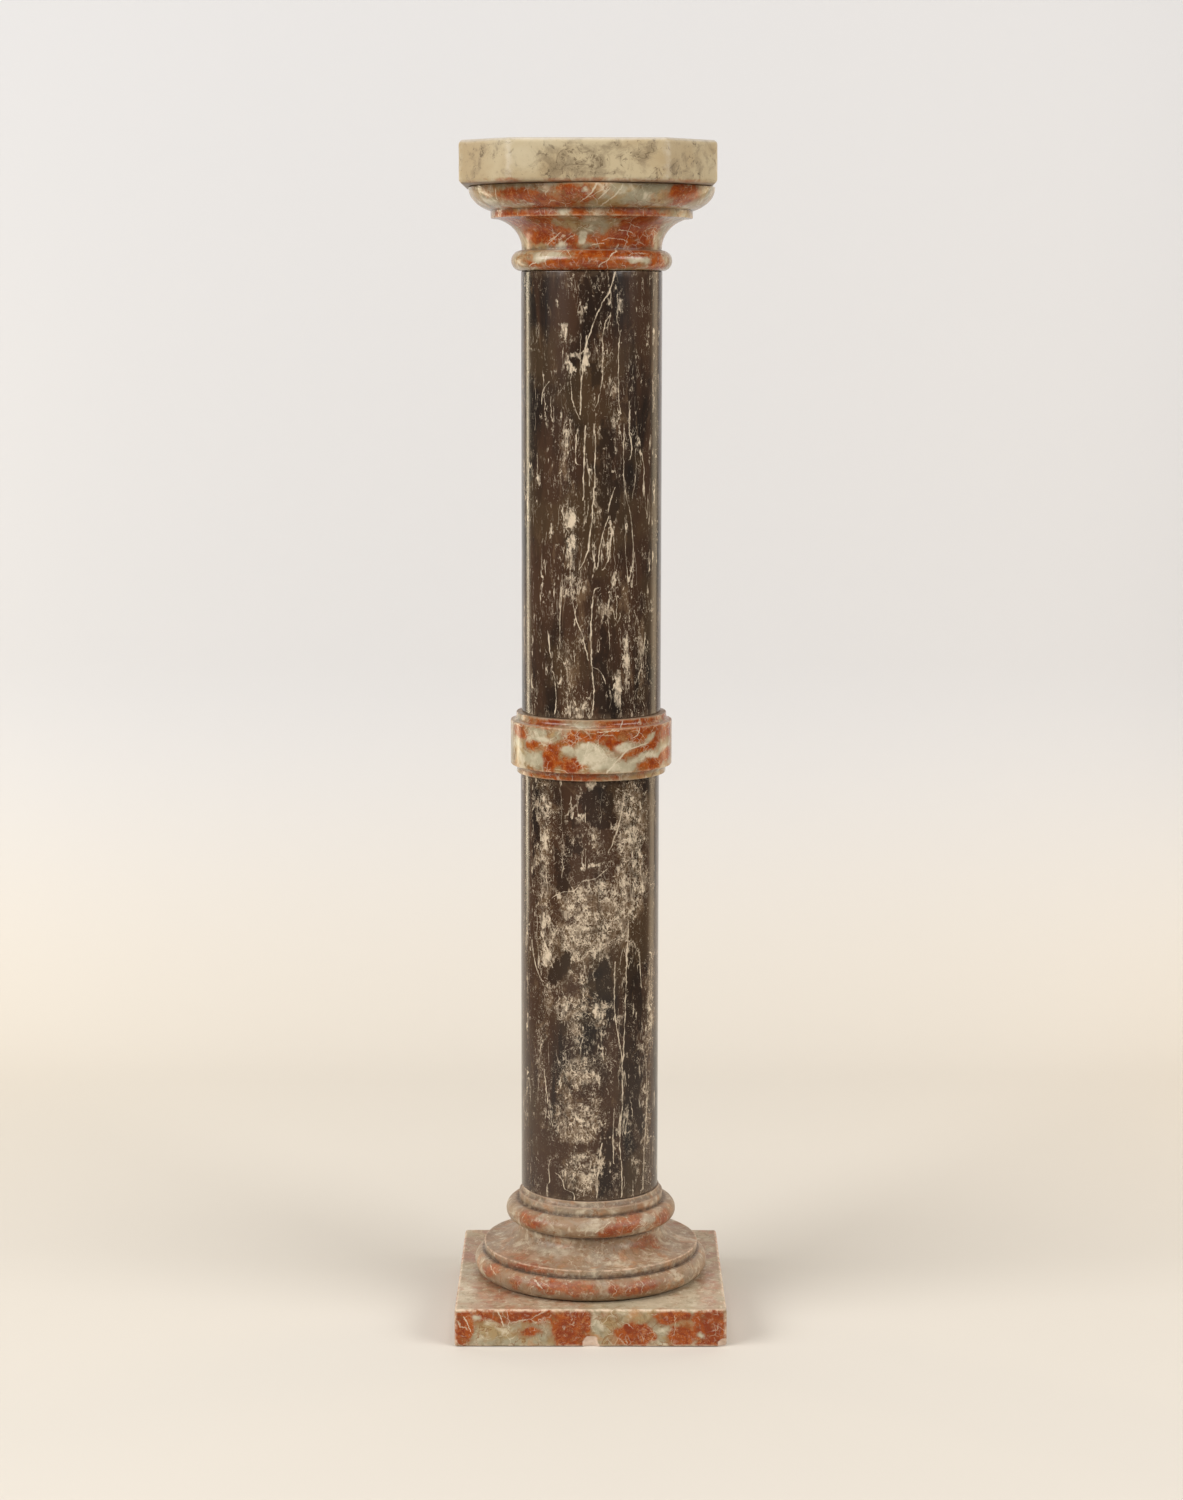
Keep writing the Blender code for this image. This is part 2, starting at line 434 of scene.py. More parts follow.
@dataclass(frozen=True)
class Layout:
    """Where one stone's marble changes, by what the marks are made of.

    Attributes:
        main: lumps of the stone's own strong colour, or of its lace.
        pale: pale patches over them.
        dark: dark patches over them.
        veins: thin light seams.
    """

    main: tuple[Mark, ...] = ()
    pale: tuple[Mark, ...] = ()
    dark: tuple[Mark, ...] = ()
    veins: tuple[Vein, ...] = ()


class Drawing:
    """Turns marks and veins into fields over one stone, unrolled flat in millimetres."""

    melt = 4.0
    far = 60.0

    def __init__(self, graph: Graph, unrolled: Callable[[Value], Value], unit: float = 1.0,
                 widening: Callable[[float], float] = lambda up: 1.0) -> None:
        """Keep the tree and the stone's own rule for places.

        Args:
            graph: the material's tree.
            unrolled: turns a place into millimetres along and up the front, with 1 as the third number.
            unit: millimetres along for one unit of a mark's around.
            widening: gives how much unrolling widens the surface at a height in millimetres.
        """
        self.graph = graph
        self.unrolled = unrolled
        self.unit = unit
        self.widening = widening

    def lump(self, flat: Value, mark: Mark) -> Value:
        """Return how far a place lies outside one mark, in millimetres and negative inside."""
        wide, high = mark.wide / 2.0 * self.widening(mark.up), mark.high / 2.0
        across = mark.around * self.unit
        cosine, sine = math.cos(math.radians(mark.lean)), math.sin(math.radians(mark.lean))
        side = (cosine / wide, -sine / wide, (mark.up * sine - across * cosine) / wide)
        rise = (sine / high, cosine / high, -(across * sine + mark.up * cosine) / high)
        if mark.lean:
            sideways, upwards = flat.along(side), flat.along(rise)
            away = upwards.scaled(upwards, sideways * sideways).root()
        else:
            factors, offsets = (side[0], rise[1], 0.0), (side[2], rise[2], 0.0)
            away = self.graph.vector("MULTIPLY_ADD", flat, factors, offsets).length()
        least = min(wide, high)
        return away.scaled(least, -least)

    def field(self, flat: Value, marks: Sequence[Mark]) -> Value:
        """Return how far a place lies outside all the marks, in millimetres and negative inside."""
        nearest: Optional[Value] = None
        for mark in marks:
            distance = self.lump(flat, mark)
            nearest = distance if nearest is None else nearest.melted(distance, self.melt)
        return nearest if nearest is not None else flat.part("Z") * self.far

    def vein(self, along_u: Value, along_v: Value, vein: Vein) -> Value:
        """Return how far a place lies from one vein, in half widths.

        Args:
            along_u: millimetres along.
            along_v: millimetres up.
            vein: the vein.

        Returns:
            The distance.
        """
        path = [(around * self.unit, up) for around, up in vein.path]
        spans = [max(axis) - min(axis) for axis in zip(*path)]
        upright = spans[1] >= spans[0]
        main, cross = (1, 0) if upright else (0, 1)
        path.sort(key=lambda point: point[main])
        start, length = path[0][main], path[-1][main] - path[0][main]
        low, width = min(point[cross] for point in path), max(spans[cross], 0.5)
        points = [((point[main] - start) / length, (point[cross] - low) / width) for point in path]
        share = (along_v if upright else along_u).scaled(1.0 / length, -start / length)
        middle = self.graph.curve(share, points).scaled(width, low)
        past = (abs(share - 0.5) - 0.5).greater(0.0) * length
        half = vein.width / 2.0 * math.hypot(1.0, width / length)
        return (abs((along_u if upright else along_v) - middle) + past) / half

    def veins(self, flat: Value, veins: Sequence[Vein], ragged: Value) -> Value:
        """Return 1 on the veins and 0 off them.

        Args:
            flat: the unrolled place.
            veins: the veins.
            ragged: widens and narrows them, about 1.

        Returns:
            The veins.
        """
        along_u, along_v = flat.part("X"), flat.part("Y")
        nearest: Optional[Value] = None
        for vein in veins:
            distance = self.vein(along_u, along_v, vein)
            nearest = distance if nearest is None else nearest.lesser(distance)
        if nearest is None:
            return along_u * 0.0
        return 1.0 - (nearest / ragged).rise(0.5, 1.5)


class Cover(Enum):
    """How a stone's surface is kept."""

    POLISHED = "polished"
    DUSTY = "dusty"

    @property
    def relief(self) -> float:
        """Return how strongly the surface's fine relief shows."""
        return 0.22 if self is Cover.POLISHED else 0.5


@dataclass(frozen=True)
class Wear:
    """What edges, hollows and fresh breaks do to a surface, shared by all the finishes.

    Attributes:
        edge: colour that rubbed arrises turn to; it is wear, and also a painted highlight along them.
        hollow: colour of the dirt and the painted shade in hollows and along the beds.
        fresh: colour inside a chip.
        rub_and_highlight_share: strongest share of the edge colour, wear and painted highlight together.
        hollow_share: strongest share of the dirt and painted shade.
    """

    edge: Colour
    hollow: Colour
    fresh: Colour
    rub_and_highlight_share: float = 0.5
    hollow_share: float = 0.6

    def over(self, graph: Graph, place: Value, colour: Value) -> Value:
        """Lay the wear over a colour.

        Args:
            graph: the material's tree.
            place: the place on the piece.
            colour: the stone's colour.

        Returns:
            The worn colour.
        """
        patchy = graph.noise(place, 190.0, 4.0, 0.6).rise(0.35, 0.62)
        # Paler on the arrises: rubbing wear, and also a painted highlight along them.
        worn = graph.mix(graph.attribute("arris") * patchy * self.rub_and_highlight_share, colour, self.edge)
        # Darker in hollows and along the beds: dirt, and also painted shade where hollows turn away from
        # the light and stones meet.
        dirt_and_shade_mask = graph.attribute("hollow") * (0.4 + patchy * 0.6) * self.hollow_share
        dirt_and_shade = graph.mix(dirt_and_shade_mask, worn, self.hollow)
        return graph.mix(graph.attribute("fresh") * 0.9, dirt_and_shade, self.fresh)


@dataclass(frozen=True)
class RedMarble:
    """Red marble with grey-beige clouds, white seams and lace.

    Attributes:
        name: the material's name.
        cover: polished, or dusty from years of handling and wax.
        seed: place in the noise that this stone is cut from.
        spread: how much of the hidden sides is red, about 0.5.
    """

    name: str
    cover: Cover
    seed: float
    spread: float = 0.5
    orange: Colour = srgb(154, 74, 18)
    deep: Colour = srgb(124, 46, 8)
    brown: Colour = srgb(126, 80, 40)
    blush: Colour = srgb(186, 126, 78)
    beige: Colour = srgb(158, 134, 94)
    grey: Colour = srgb(155, 146, 120)
    olive: Colour = srgb(114, 92, 58)
    white: Colour = srgb(207, 194, 168)
    dust: Colour = srgb(156, 130, 106)
    wear: Wear = Wear(srgb(204, 172, 140), srgb(62, 42, 30), srgb(224, 200, 180))

    def ground(self, graph: Graph, cut: Value) -> Value:
        """Return the grey and beige clouds between the red lumps.

        Args:
            graph: the material's tree.
            cut: the place in the block that the stone was cut from.

        Returns:
            Their colour.
        """
        clouds = graph.noise(cut, 42.0, 4.0, 0.55, 0.6)
        ground = graph.mix(clouds.rise(0.40, 0.60), self.beige, self.grey)
        ruddy = graph.noise(cut.shifted(0.3, 0.0, 0.0), 40.0, 4.0, 0.6, 0.5).rise(0.50, 0.64)
        ground = graph.mix(ruddy * 0.55, ground, self.blush)
        smoky = graph.noise(cut.shifted(0.0, 0.4, 0.0), 62.0, 6.0, 0.65, 1.0).rise(0.52, 0.68)
        ground = graph.mix(smoky * 0.55, ground, self.olive)
        bright = graph.noise(cut, 58.0, 4.0, 0.55, 0.8).rise(0.50, 0.68)
        ground = graph.mix(bright * 0.75, ground, self.white)
        hairs = graph.squiggles(graph.warp(cut, 50.0, 0.016), 36.0, 0.012, 0.5)
        return graph.mix(hairs * 0.65, ground, self.brown)

    def lumps(self, graph: Graph, cut: Value, depth: Value) -> Value:
        """Return the red lumps.

        Args:
            graph: the material's tree.
            cut: the place in the block that the stone was cut from.
            depth: millimetres outside a lump, negative inside.

        Returns:
            Their colour.
        """
        shade = graph.noise(cut, 75.0, 6.0, 0.70, 1.2) - depth.rise(-9.0, 0.0) * 0.06
        lump = graph.mix(shade.rise(0.34, 0.56), self.orange, self.deep)
        muddy = graph.noise(cut.shifted(0.0, 0.0, 0.5), 66.0, 5.0, 0.65, 0.8).rise(0.52, 0.66)
        lump = graph.mix(muddy * 0.7, lump, self.brown)
        flecks = graph.noise(cut, 300.0, 4.0, 0.65).rise(0.57, 0.66)
        lump = graph.mix(flecks * 0.4, lump, self.blush)
        curls = graph.squiggles(cut, 130.0, 0.022, 2.0) * graph.noise(cut, 50.0, 4.0, 0.6).rise(0.50, 0.58)
        return graph.mix(curls * 0.7, lump, self.blush)

    def material(self, layout: Layout, drawn_on: Callable[[Graph], Drawing]) -> bpy.types.Material:
        """Make the material of one stone.

        Args:
            layout: the stone's marks.
            drawn_on: makes the drawing that lies on this stone.

        Returns:
            The material.
        """
        graph = Graph(self.name)
        drawing = drawn_on(graph)
        place = graph.place()
        cut = place.shifted(self.seed, self.seed * 0.7, 0.0)
        swirled = drawing.unrolled(graph.warp(place, 60.0, 0.016, 5.0, 0.62))
        fine = graph.warp(place, 120.0, 0.006, 5.0, 0.65)

        front = (place.part("Y") * -1.0).rise(-0.03, 0.03)
        ragged = graph.noise(cut, 95.0, 6.0, 0.70)
        depth = drawing.field(swirled, layout.main) + (ragged - 0.5) * 14.0 - 1.6
        hidden = graph.noise(graph.warp(cut, 40.0, 0.02), 26.0, 5.0, 0.62)
        hidden = (1.0 - self.spread - hidden) * 80.0
        depth = depth * front + hidden * (1.0 - front)

        colour = graph.mix(depth.rise(-2.0, 2.2), self.lumps(graph, cut, depth), self.ground(graph, cut))
        halo = 1.0 - abs(depth - 1.6).rise(0.4, 3.6)
        colour = graph.mix(halo * 0.35, colour, self.brown)

        pale = drawing.field(swirled, layout.pale) + (ragged - 0.5) * 7.0
        milk = graph.noise(cut, 60.0, 4.0, 0.55).rise(0.38, 0.66) * 0.6 + 0.15
        milky = graph.mix(milk, self.grey, self.white)
        colour = graph.mix((1.0 - pale.rise(-2.0, 1.8)) * front, colour, milky)
        dark = drawing.field(swirled, layout.dark) + (ragged - 0.5) * 8.0
        colour = graph.mix((1.0 - dark.rise(-3.0, 3.0)) * 0.6 * front, colour, self.deep)

        lace = graph.cracks(fine, 130.0, 0.06) * graph.noise(cut, 42.0, 4.0, 0.6).rise(0.55, 0.62)
        rare = graph.cracks(graph.warp(cut, 26.0, 0.03), 26.0, 0.013)
        rare = rare * graph.noise(cut, 60.0, 3.0).rise(0.48, 0.56)
        width = graph.noise(place, 220.0, 4.0, 0.65).scaled(3.2, -0.6).greater(0.05)
        seams = drawing.veins(drawing.unrolled(fine), layout.veins, width) * front
        seams = seams.greater(lace * 0.5).greater(rare * 0.7)
        colour = graph.mix(seams * 0.8, colour, self.white)

        gloss = graph.noise(place, 90.0, 4.0, 0.6)
        up = graph.upwards()
        patchy = graph.noise(place.stretched(1.0, 1.0, 2.0), 36.0, 6.0, 0.7, 0.6)
        if self.cover is Cover.DUSTY:
            scuffs = graph.noise(place.stretched(0.4, 0.4, 4.0), 90.0, 5.0, 0.75) - 0.5
            film = (up.rise(-0.3, 0.95) * 0.3 + 0.18 + (patchy - 0.5) * 1.3 + scuffs * 1.1).clamped()
            rough = film * 0.35 + 0.26 + gloss * 0.1
        else:
            film = (up.rise(0.8, 0.98) * (patchy.rise(0.40, 0.58) * 0.5 + 0.4)).clamped()
            rough = film * 0.3 + 0.14 + gloss * 0.16
        colour = graph.mix(film * 0.8, colour, self.dust)
        grime = graph.noise(graph.warp(cut, 80.0, 0.01), 170.0, 5.0, 0.72)
        colour = graph.mix(grime.rise(0.52, 0.64) * (film * 0.4 + 0.25), colour, self.olive)
        flakes = graph.noise(graph.warp(cut.shifted(0.0, 0.2, 0.0), 90.0, 0.01), 150.0, 6.0, 0.75)
        colour = graph.mix(flakes.rise(0.56, 0.63) * (film * 0.45 + 0.2), colour, self.white)
        colour = self.wear.over(graph, place, colour)
        height = graph.noise(place, 900.0, 2.0, 0.5) * 0.5 + graph.noise(place, 160.0, 3.0, 0.5)
        return graph.surface(colour, rough, height, self.cover.relief)


@dataclass(frozen=True)
class BlackMarble:
    """Near-black brown marble with cream lace, clouds and long upright seams.

    Attributes:
        name: the material's name.
        seed: place in the noise that this stone is cut from.
        lace: how much of the hidden sides the cream lace takes, from 0 to 1.
        streak: how much shorter than high the lace's grains are, 1 for round ones.
    """

    name: str
    seed: float
    lace: float
    streak: float
    brown: Colour = srgb(64, 44, 31)
    black: Colour = srgb(31, 23, 18)
    olive: Colour = srgb(74, 57, 38)
    cream: Colour = srgb(205, 188, 163)
    cloud: Colour = srgb(106, 84, 62)
    wear: Wear = Wear(srgb(140, 118, 94), srgb(40, 32, 26), srgb(170, 156, 140))

    def lacework(self, graph: Graph, cut: Value, dense: Value, ragged: Value) -> Value:
        """Return the broken cream grains and the net between them.

        Args:
            graph: the material's tree.
            cut: the place in the block that the drum was cut from.
            dense: 1 where the lace is thick.
            ragged: coarse noise that breaks the net up.

        Returns:
            How much of the surface it covers.
        """
        upright = cut.stretched(1.0, 1.0, self.streak)
        grain = graph.noise(upright, 320.0, 5.0, 0.74, 1.6)
        specks = (grain + dense * 0.10 - 0.64).rise(0.0, 0.03)
        strong = graph.noise(upright, 130.0, 5.0, 0.7, 1.0)
        specks = specks.greater((strong + dense * 0.08 - 0.68).rise(0.0, 0.03))
        curls = graph.squiggles(upright, 150.0, 0.020, 2.0) * (ragged + dense * 0.08).rise(0.52, 0.60)
        coarse = graph.web(graph.warp(upright, 70.0, 0.016, 5.0, 0.7), 120.0, -0.04, 0.13)
        small = graph.web(graph.warp(upright, 160.0, 0.006), 260.0, -0.06, 0.12)
        net = coarse.greater(small * 0.7) * (dense * 0.5 + ragged).rise(0.84, 0.98)
        return specks.greater(curls * 0.8).greater(net)

    def material(self, layout: Layout, drawn_on: Callable[[Graph], Drawing]) -> bpy.types.Material:
        """Make the material of one drum.

        Args:
            layout: the drum's marks: main are lace clouds, dark islands, pale cream lumps.
            drawn_on: makes the drawing that lies on this drum.

        Returns:
            The material.
        """
        graph = Graph(self.name)
        drawing = drawn_on(graph)
        place = graph.place()
        cut = place.shifted(self.seed, self.seed * 0.7, 0.0)
        fine = graph.warp(place, 110.0, 0.0045, 5.0, 0.65)

        front = (place.part("Y") * -1.0).rise(-0.02, 0.03)
        ragged = graph.noise(cut.stretched(1.0, 1.0, 0.5), 64.0, 6.0, 0.72)
        flat = drawing.unrolled(graph.warp(place, 55.0, 0.018, 5.0, 0.6))
        clouds = drawing.field(flat, layout.main) + (ragged - 0.5) * 44.0
        clouds = 1.0 - clouds.rise(-8.0, 9.0)
        hidden = graph.noise(cut.stretched(1.0, 1.0, 0.5), 18.0, 5.0, 0.62)
        hidden = hidden.rise(0.66 - self.lace * 0.26, 0.78 - self.lace * 0.22)
        shores = drawing.field(flat, layout.dark) + (ragged - 0.5) * 42.0 + 2.0
        islands = (1.0 - shores.rise(-1.5, 2.0)) * front
        rims = (1.0 - abs(shores - 2.0).rise(0.3, 2.0)) * front
        dense = (clouds * front + hidden * (1.0 - front)) * (1.0 - islands)

        tone = graph.noise(cut.stretched(1.0, 1.0, 0.22), 26.0, 5.0, 0.6, 0.4)
        colour = graph.mix(tone.rise(0.36, 0.58), self.black, self.brown)
        olive = graph.noise(cut, 14.0, 3.0)
        colour = graph.mix(olive.rise(0.48, 0.62) * 0.6, colour, self.olive)
        colour = graph.mix(islands * 0.6, colour, self.black)
        haze = graph.noise(cut.stretched(1.0, 1.0, self.streak), 80.0, 6.0, 0.72, 0.7)
        colour = graph.mix((haze + dense * 0.14 - 0.62).rise(-0.05, 0.12) * 0.7, colour, self.cloud)

        bits = self.lacework(graph, cut, dense, ragged)
        bits = bits.greater(rims * (haze + dense * 0.06).rise(0.50, 0.60) * 0.8)
        lit = graph.noise(cut, 110.0, 5.0, 0.65).rise(0.38, 0.60) * 0.86 + 0.2
        colour = graph.mix(bits * lit, colour, self.cream)

        lumps = drawing.field(drawing.unrolled(graph.warp(place, 130.0, 0.009, 5.0, 0.65)), layout.pale)
        torn = graph.noise(cut.stretched(1.0, 1.0, 0.5), 150.0, 5.0, 0.7)
        lumps = 1.0 - (lumps + (torn - 0.5) * 18.0).rise(-0.6, 0.6)
        gaps = graph.noise(cut.stretched(1.0, 1.0, 0.4), 280.0, 4.0, 0.7).rise(0.42, 0.53)
        lumps = lumps * gaps.scaled(0.75, 0.25)
        strands = graph.noise(graph.warp(cut, 36.0, 0.010, 5.0).stretched(1.0, 1.0, 0.07), 85.0, 2.0, 0.5)
        strands = 1.0 - abs(strands - 0.5).rise(0.003, 0.014)
        strands = strands * (graph.noise(cut, 34.0, 5.0, 0.65) + torn * 0.2).rise(0.60, 0.68)
        width = graph.noise(place.stretched(1.0, 1.0, 0.5), 190.0, 4.0, 0.65)
        width = width.scaled(3.8, -1.15).greater(0.05)
        seams = drawing.veins(drawing.unrolled(fine), layout.veins, width) * front
        seams = seams.greater(strands * 0.8).greater(lumps * front)
        colour = graph.mix((seams * (lit + 0.3)).clamped(), colour, self.cream)
        colour = self.wear.over(graph, place, colour)

        gloss = graph.noise(place, 60.0, 4.0, 0.6)
        rough = 0.12 + gloss * 0.14 + bits * 0.08
        height = graph.noise(place, 700.0, 2.0, 0.5) * 0.4 + graph.noise(place, 60.0, 2.0, 0.5)
        return graph.surface(colour, rough, height, 0.15)


@dataclass(frozen=True)
class IvoryMarble:
    """Ivory marble with smoky grey clouds, fine dark seams and stained bottom edges."""

    name: str
    ivory: Colour = srgb(180, 164, 132)
    tan: Colour = srgb(168, 148, 114)
    smoke: Colour = srgb(106, 90, 68)
    milk: Colour = srgb(198, 186, 158)
    chalk: Colour = srgb(178, 172, 164)
    stain: Colour = srgb(146, 82, 38)
    wear: Wear = Wear(srgb(214, 206, 190), srgb(80, 52, 34), srgb(216, 202, 174), 0.2, 0.8)

    def material(self, layout: Layout, drawn_on: Callable[[Graph], Drawing]) -> bpy.types.Material:
        """Make the slab's material.

        Args:
            layout: the slab's marks: main are smoky clouds, dark stains, pale light patches.
            drawn_on: makes the drawing that lies on the slab.

        Returns:
            The material.
        """
        graph = Graph(self.name)
        drawing = drawn_on(graph)
        place = graph.place()
        swirled = drawing.unrolled(graph.warp(place, 60.0, 0.016, 5.0, 0.65))
        fine = drawing.unrolled(graph.warp(place, 120.0, 0.006, 5.0, 0.65))

        front = (place.part("Y") * -1.0).rise(0.02, 0.07)
        tone = graph.noise(place, 14.0, 4.0, 0.55, 0.3)
        colour = graph.mix(tone.rise(0.38, 0.62), self.ivory, self.tan)
        mottled = graph.noise(place, 60.0, 7.0, 0.68, 0.6)
        hidden = graph.noise(graph.warp(place, 30.0, 0.03), 20.0, 5.0, 0.6).rise(0.54, 0.72)
        clouds = 1.0 - drawing.field(swirled, layout.main).rise(-8.0, 8.0)
        smoke = clouds * front + hidden * (1.0 - front)
        colour = graph.mix((mottled + smoke * 0.14 - 0.56).rise(-0.06, 0.16) * 0.6, colour, self.smoke)
        grain = graph.noise(place, 240.0, 5.0, 0.7, 0.8)
        colour = graph.mix((grain + smoke * 0.08 - 0.63).rise(0.0, 0.04) * 0.75, colour, self.smoke)
        hairs = graph.squiggles(graph.warp(place, 70.0, 0.008, 5.0, 0.65), 42.0, 0.012, 0.6)
        hairs = hairs * (mottled + smoke * 0.12).rise(0.50, 0.62)
        colour = graph.mix(hairs * 0.9, colour, self.smoke)
        light = (1.0 - drawing.field(swirled, layout.pale).rise(-8.0, 8.0)) * front
        colour = graph.mix(light * 0.5, colour, self.milk)
        width = graph.noise(place, 200.0, 4.0, 0.65).scaled(3.2, -0.6).greater(0.05)
        seams = drawing.veins(fine, layout.veins, width) * front
        colour = graph.mix(seams * 0.55, colour, self.smoke)
        colour = graph.mix(graph.upwards().rise(0.2, 0.9) * 0.7, colour, self.chalk)
        stains = (1.0 - drawing.field(fine, layout.dark).rise(-0.5, 2.0)) * front
        colour = graph.mix(stains * mottled.rise(0.4, 0.6) * 0.8, colour, self.stain)
        colour = self.wear.over(graph, place, colour)

        gloss = graph.noise(place, 80.0, 4.0, 0.6)
        rough = 0.30 + gloss * 0.24 + graph.upwards().rise(0.5, 1.0) * 0.25
        height = graph.noise(place, 600.0, 3.0, 0.6) * 0.6 + graph.noise(place, 120.0, 3.0, 0.5)
        return graph.surface(colour, rough, height, 0.3)


@dataclass(frozen=True)
class Chip:
    """A break in a stone, told like a mark, with how deep it goes and which way.

    Attributes:
        around: degrees on a turned stone, millimetres on a block.
        up: millimetres above the stone's bed.
        wide: width in millimetres.
        high: height in millimetres.
        deep: depth in millimetres.
        rise: upward part of the way in, against 1 inwards; negative from above.
    """

    around: float
    up: float
    wide: float
    high: float
    deep: float
    rise: float = 0.0


class Carving:
    """Breaks and wears the surface of one stone's mesh."""

    def __init__(self, shape: bmesh.types.BMesh) -> None:
        """Keep the mesh and its three surface numbers."""
        self.shape = shape
        self.arris = shape.verts.layers.float["arris"]
        self.fresh = shape.verts.layers.float["fresh"]

    def chip(self, middle: Vector, inwards: Vector, size: Sequence[float]) -> None:
        """Scoop out one chip.

        Args:
            middle: its middle, on the stone's outline.
            inwards: the way into the stone.
            size: half its width, depth and height.
        """
        way = inwards.normalized()
        side = Vector((-way.y, way.x, 0.0)).normalized()
        axes = Matrix((side, way, side.cross(way))).to_3x3()
        reach = max(size)
        for vertex in self.shape.verts:
            offset = vertex.co - middle
            if abs(offset.z) > reach or offset.length > reach:
                continue
            local = axes @ offset
            spread = (local.x / size[0]) ** 2 + (local.z / size[2]) ** 2
            spread *= 1.0 + 0.8 * noise.noise(vertex.co * 150.0)
            if spread >= 1.0:
                continue
            rough = 0.9 + 0.25 * noise.noise(vertex.co * 240.0)
            floor = size[1] * math.sqrt(1.0 - spread) * rough
            if local.y < floor + 0.001:
                vertex.co += way * max(0.0, floor - local.y)
                vertex[self.fresh] = min(1.0, (1.0 - spread) * 4.0)

    def rub(self, depth: float) -> None:
        """Wear the arrises unevenly inwards.

        Args:
            depth: the deepest wear.
        """
        self.shape.normal_update()
        for vertex in self.shape.verts:
            weight = vertex[self.arris]
            if weight > 0.05:
                coarse = max(0.0, noise.noise(vertex.co * 70.0))
                small = max(0.0, noise.noise(vertex.co * 260.0))
                vertex.co -= vertex.normal * depth * weight * (coarse + small) * 0.8


@dataclass
class Piece:
    """A stone of the pedestal: what all seven share.

    Attributes:
        node: the frame's node that the stone stands for, and its own name's stem.
        finish: its marble.
        layout: its marks.
        chips: its breaks.
        rubbed: depth of the wear on its arrises.
    """

    node: str
    finish: Union[RedMarble, BlackMarble, IvoryMarble]
    layout: Layout = Layout()
    chips: tuple[Chip, ...] = ()
    rubbed: float = 0.0003
    low: Vector = field(init=False)
    high: Vector = field(init=False)

    def __post_init__(self) -> None:
        """Take the stone's place from the frame."""
        self.low, self.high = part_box(self.node)

    @property
    def centre(self) -> Vector:
        """Return the middle of the stone's bed."""
        return Vector(((self.low.x + self.high.x) / 2.0, (self.low.y + self.high.y) / 2.0, self.low.z))

    def shape(self) -> bmesh.types.BMesh:
        """Return the stone's unworn mesh."""
        raise NotImplementedError

    def spot(self, around: float, up: float) -> tuple[Vector, float]:
        """Return the place and the turn of a point on the stone's surface."""
        raise NotImplementedError

    def drawing(self, graph: Graph) -> Drawing:
        """Return the drawing that lies on this stone."""
        raise NotImplementedError

    def build(self) -> bpy.types.Object:
        """Make, wear and dress the stone.

        Returns:
            The finished piece.
        """
        shape = self.shape()
        carving = Carving(shape)
        for chip in self.chips:
            middle, turn = self.spot(chip.around, chip.up)
            inwards = Vector((-math.sin(turn), math.cos(turn), chip.rise))
            carving.chip(middle, inwards, (chip.wide / 2.0 * MM, chip.deep * MM, chip.high / 2.0 * MM))
        carving.rub(self.rubbed)
        bmesh.ops.recalc_face_normals(shape, faces=shape.faces)
        mesh = bpy.data.meshes.new(self.node + "_stone")
        shape.to_mesh(mesh)
        shape.free()
        mesh.shade_smooth()
        mesh.materials.append(self.finish.material(self.layout, self.drawing))
        piece = bpy.data.objects.new(self.node + "_stone", mesh)
        bpy.context.scene.collection.objects.link(piece)
        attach(piece, BODY)
        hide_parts(self.node)
        log.info("%s: %d faces", piece.name, len(mesh.polygons))
        return piece


class Outline:
    """Half section of a turned stone, drawn from the axis of its bed upwards."""

    arc_step = 0.0009

    def __init__(self) -> None:
        """Start on the axis."""
        self.points: list[Point] = [(0.0, 0.0)]

    def to(self, radius: float, level: float) -> "Outline":
        """Draw a straight line, unless the outline is already there."""
        last = self.points[-1]
        if math.hypot(radius - last[0], level - last[1]) > 1e-6:
            self.points.append((radius, level))
        return self

    def arc(self, centre: Point, radii: Point, start: float, end: float) -> "Outline":
        """Draw part of an ellipse.

        Args:
            centre: its middle.
            radii: its reach outwards and upwards.
            start: first angle in degrees, 0 outwards and 90 up.
            end: last angle in degrees.

        Returns:
            The outline.
        """
        steps = max(6, int(math.radians(abs(end - start)) * max(radii) / self.arc_step))
        for index in range(steps + 1):
            angle = math.radians(start + (end - start) * index / steps)
            self.to(centre[0] + radii[0] * math.cos(angle), centre[1] + radii[1] * math.sin(angle))
        return self

    def torus(self, radius: float, level: float, height: float) -> "Outline":
        """Draw a half round that ends at its outer radius."""
        half = height / 2.0
        return self.arc((radius - half, level + half), (half, half), -90.0, 90.0)

    def close(self) -> list[Point]:
        """Draw the bed above back to the axis and return the points."""
        self.to(0.0, self.points[-1][1])
        return self.points


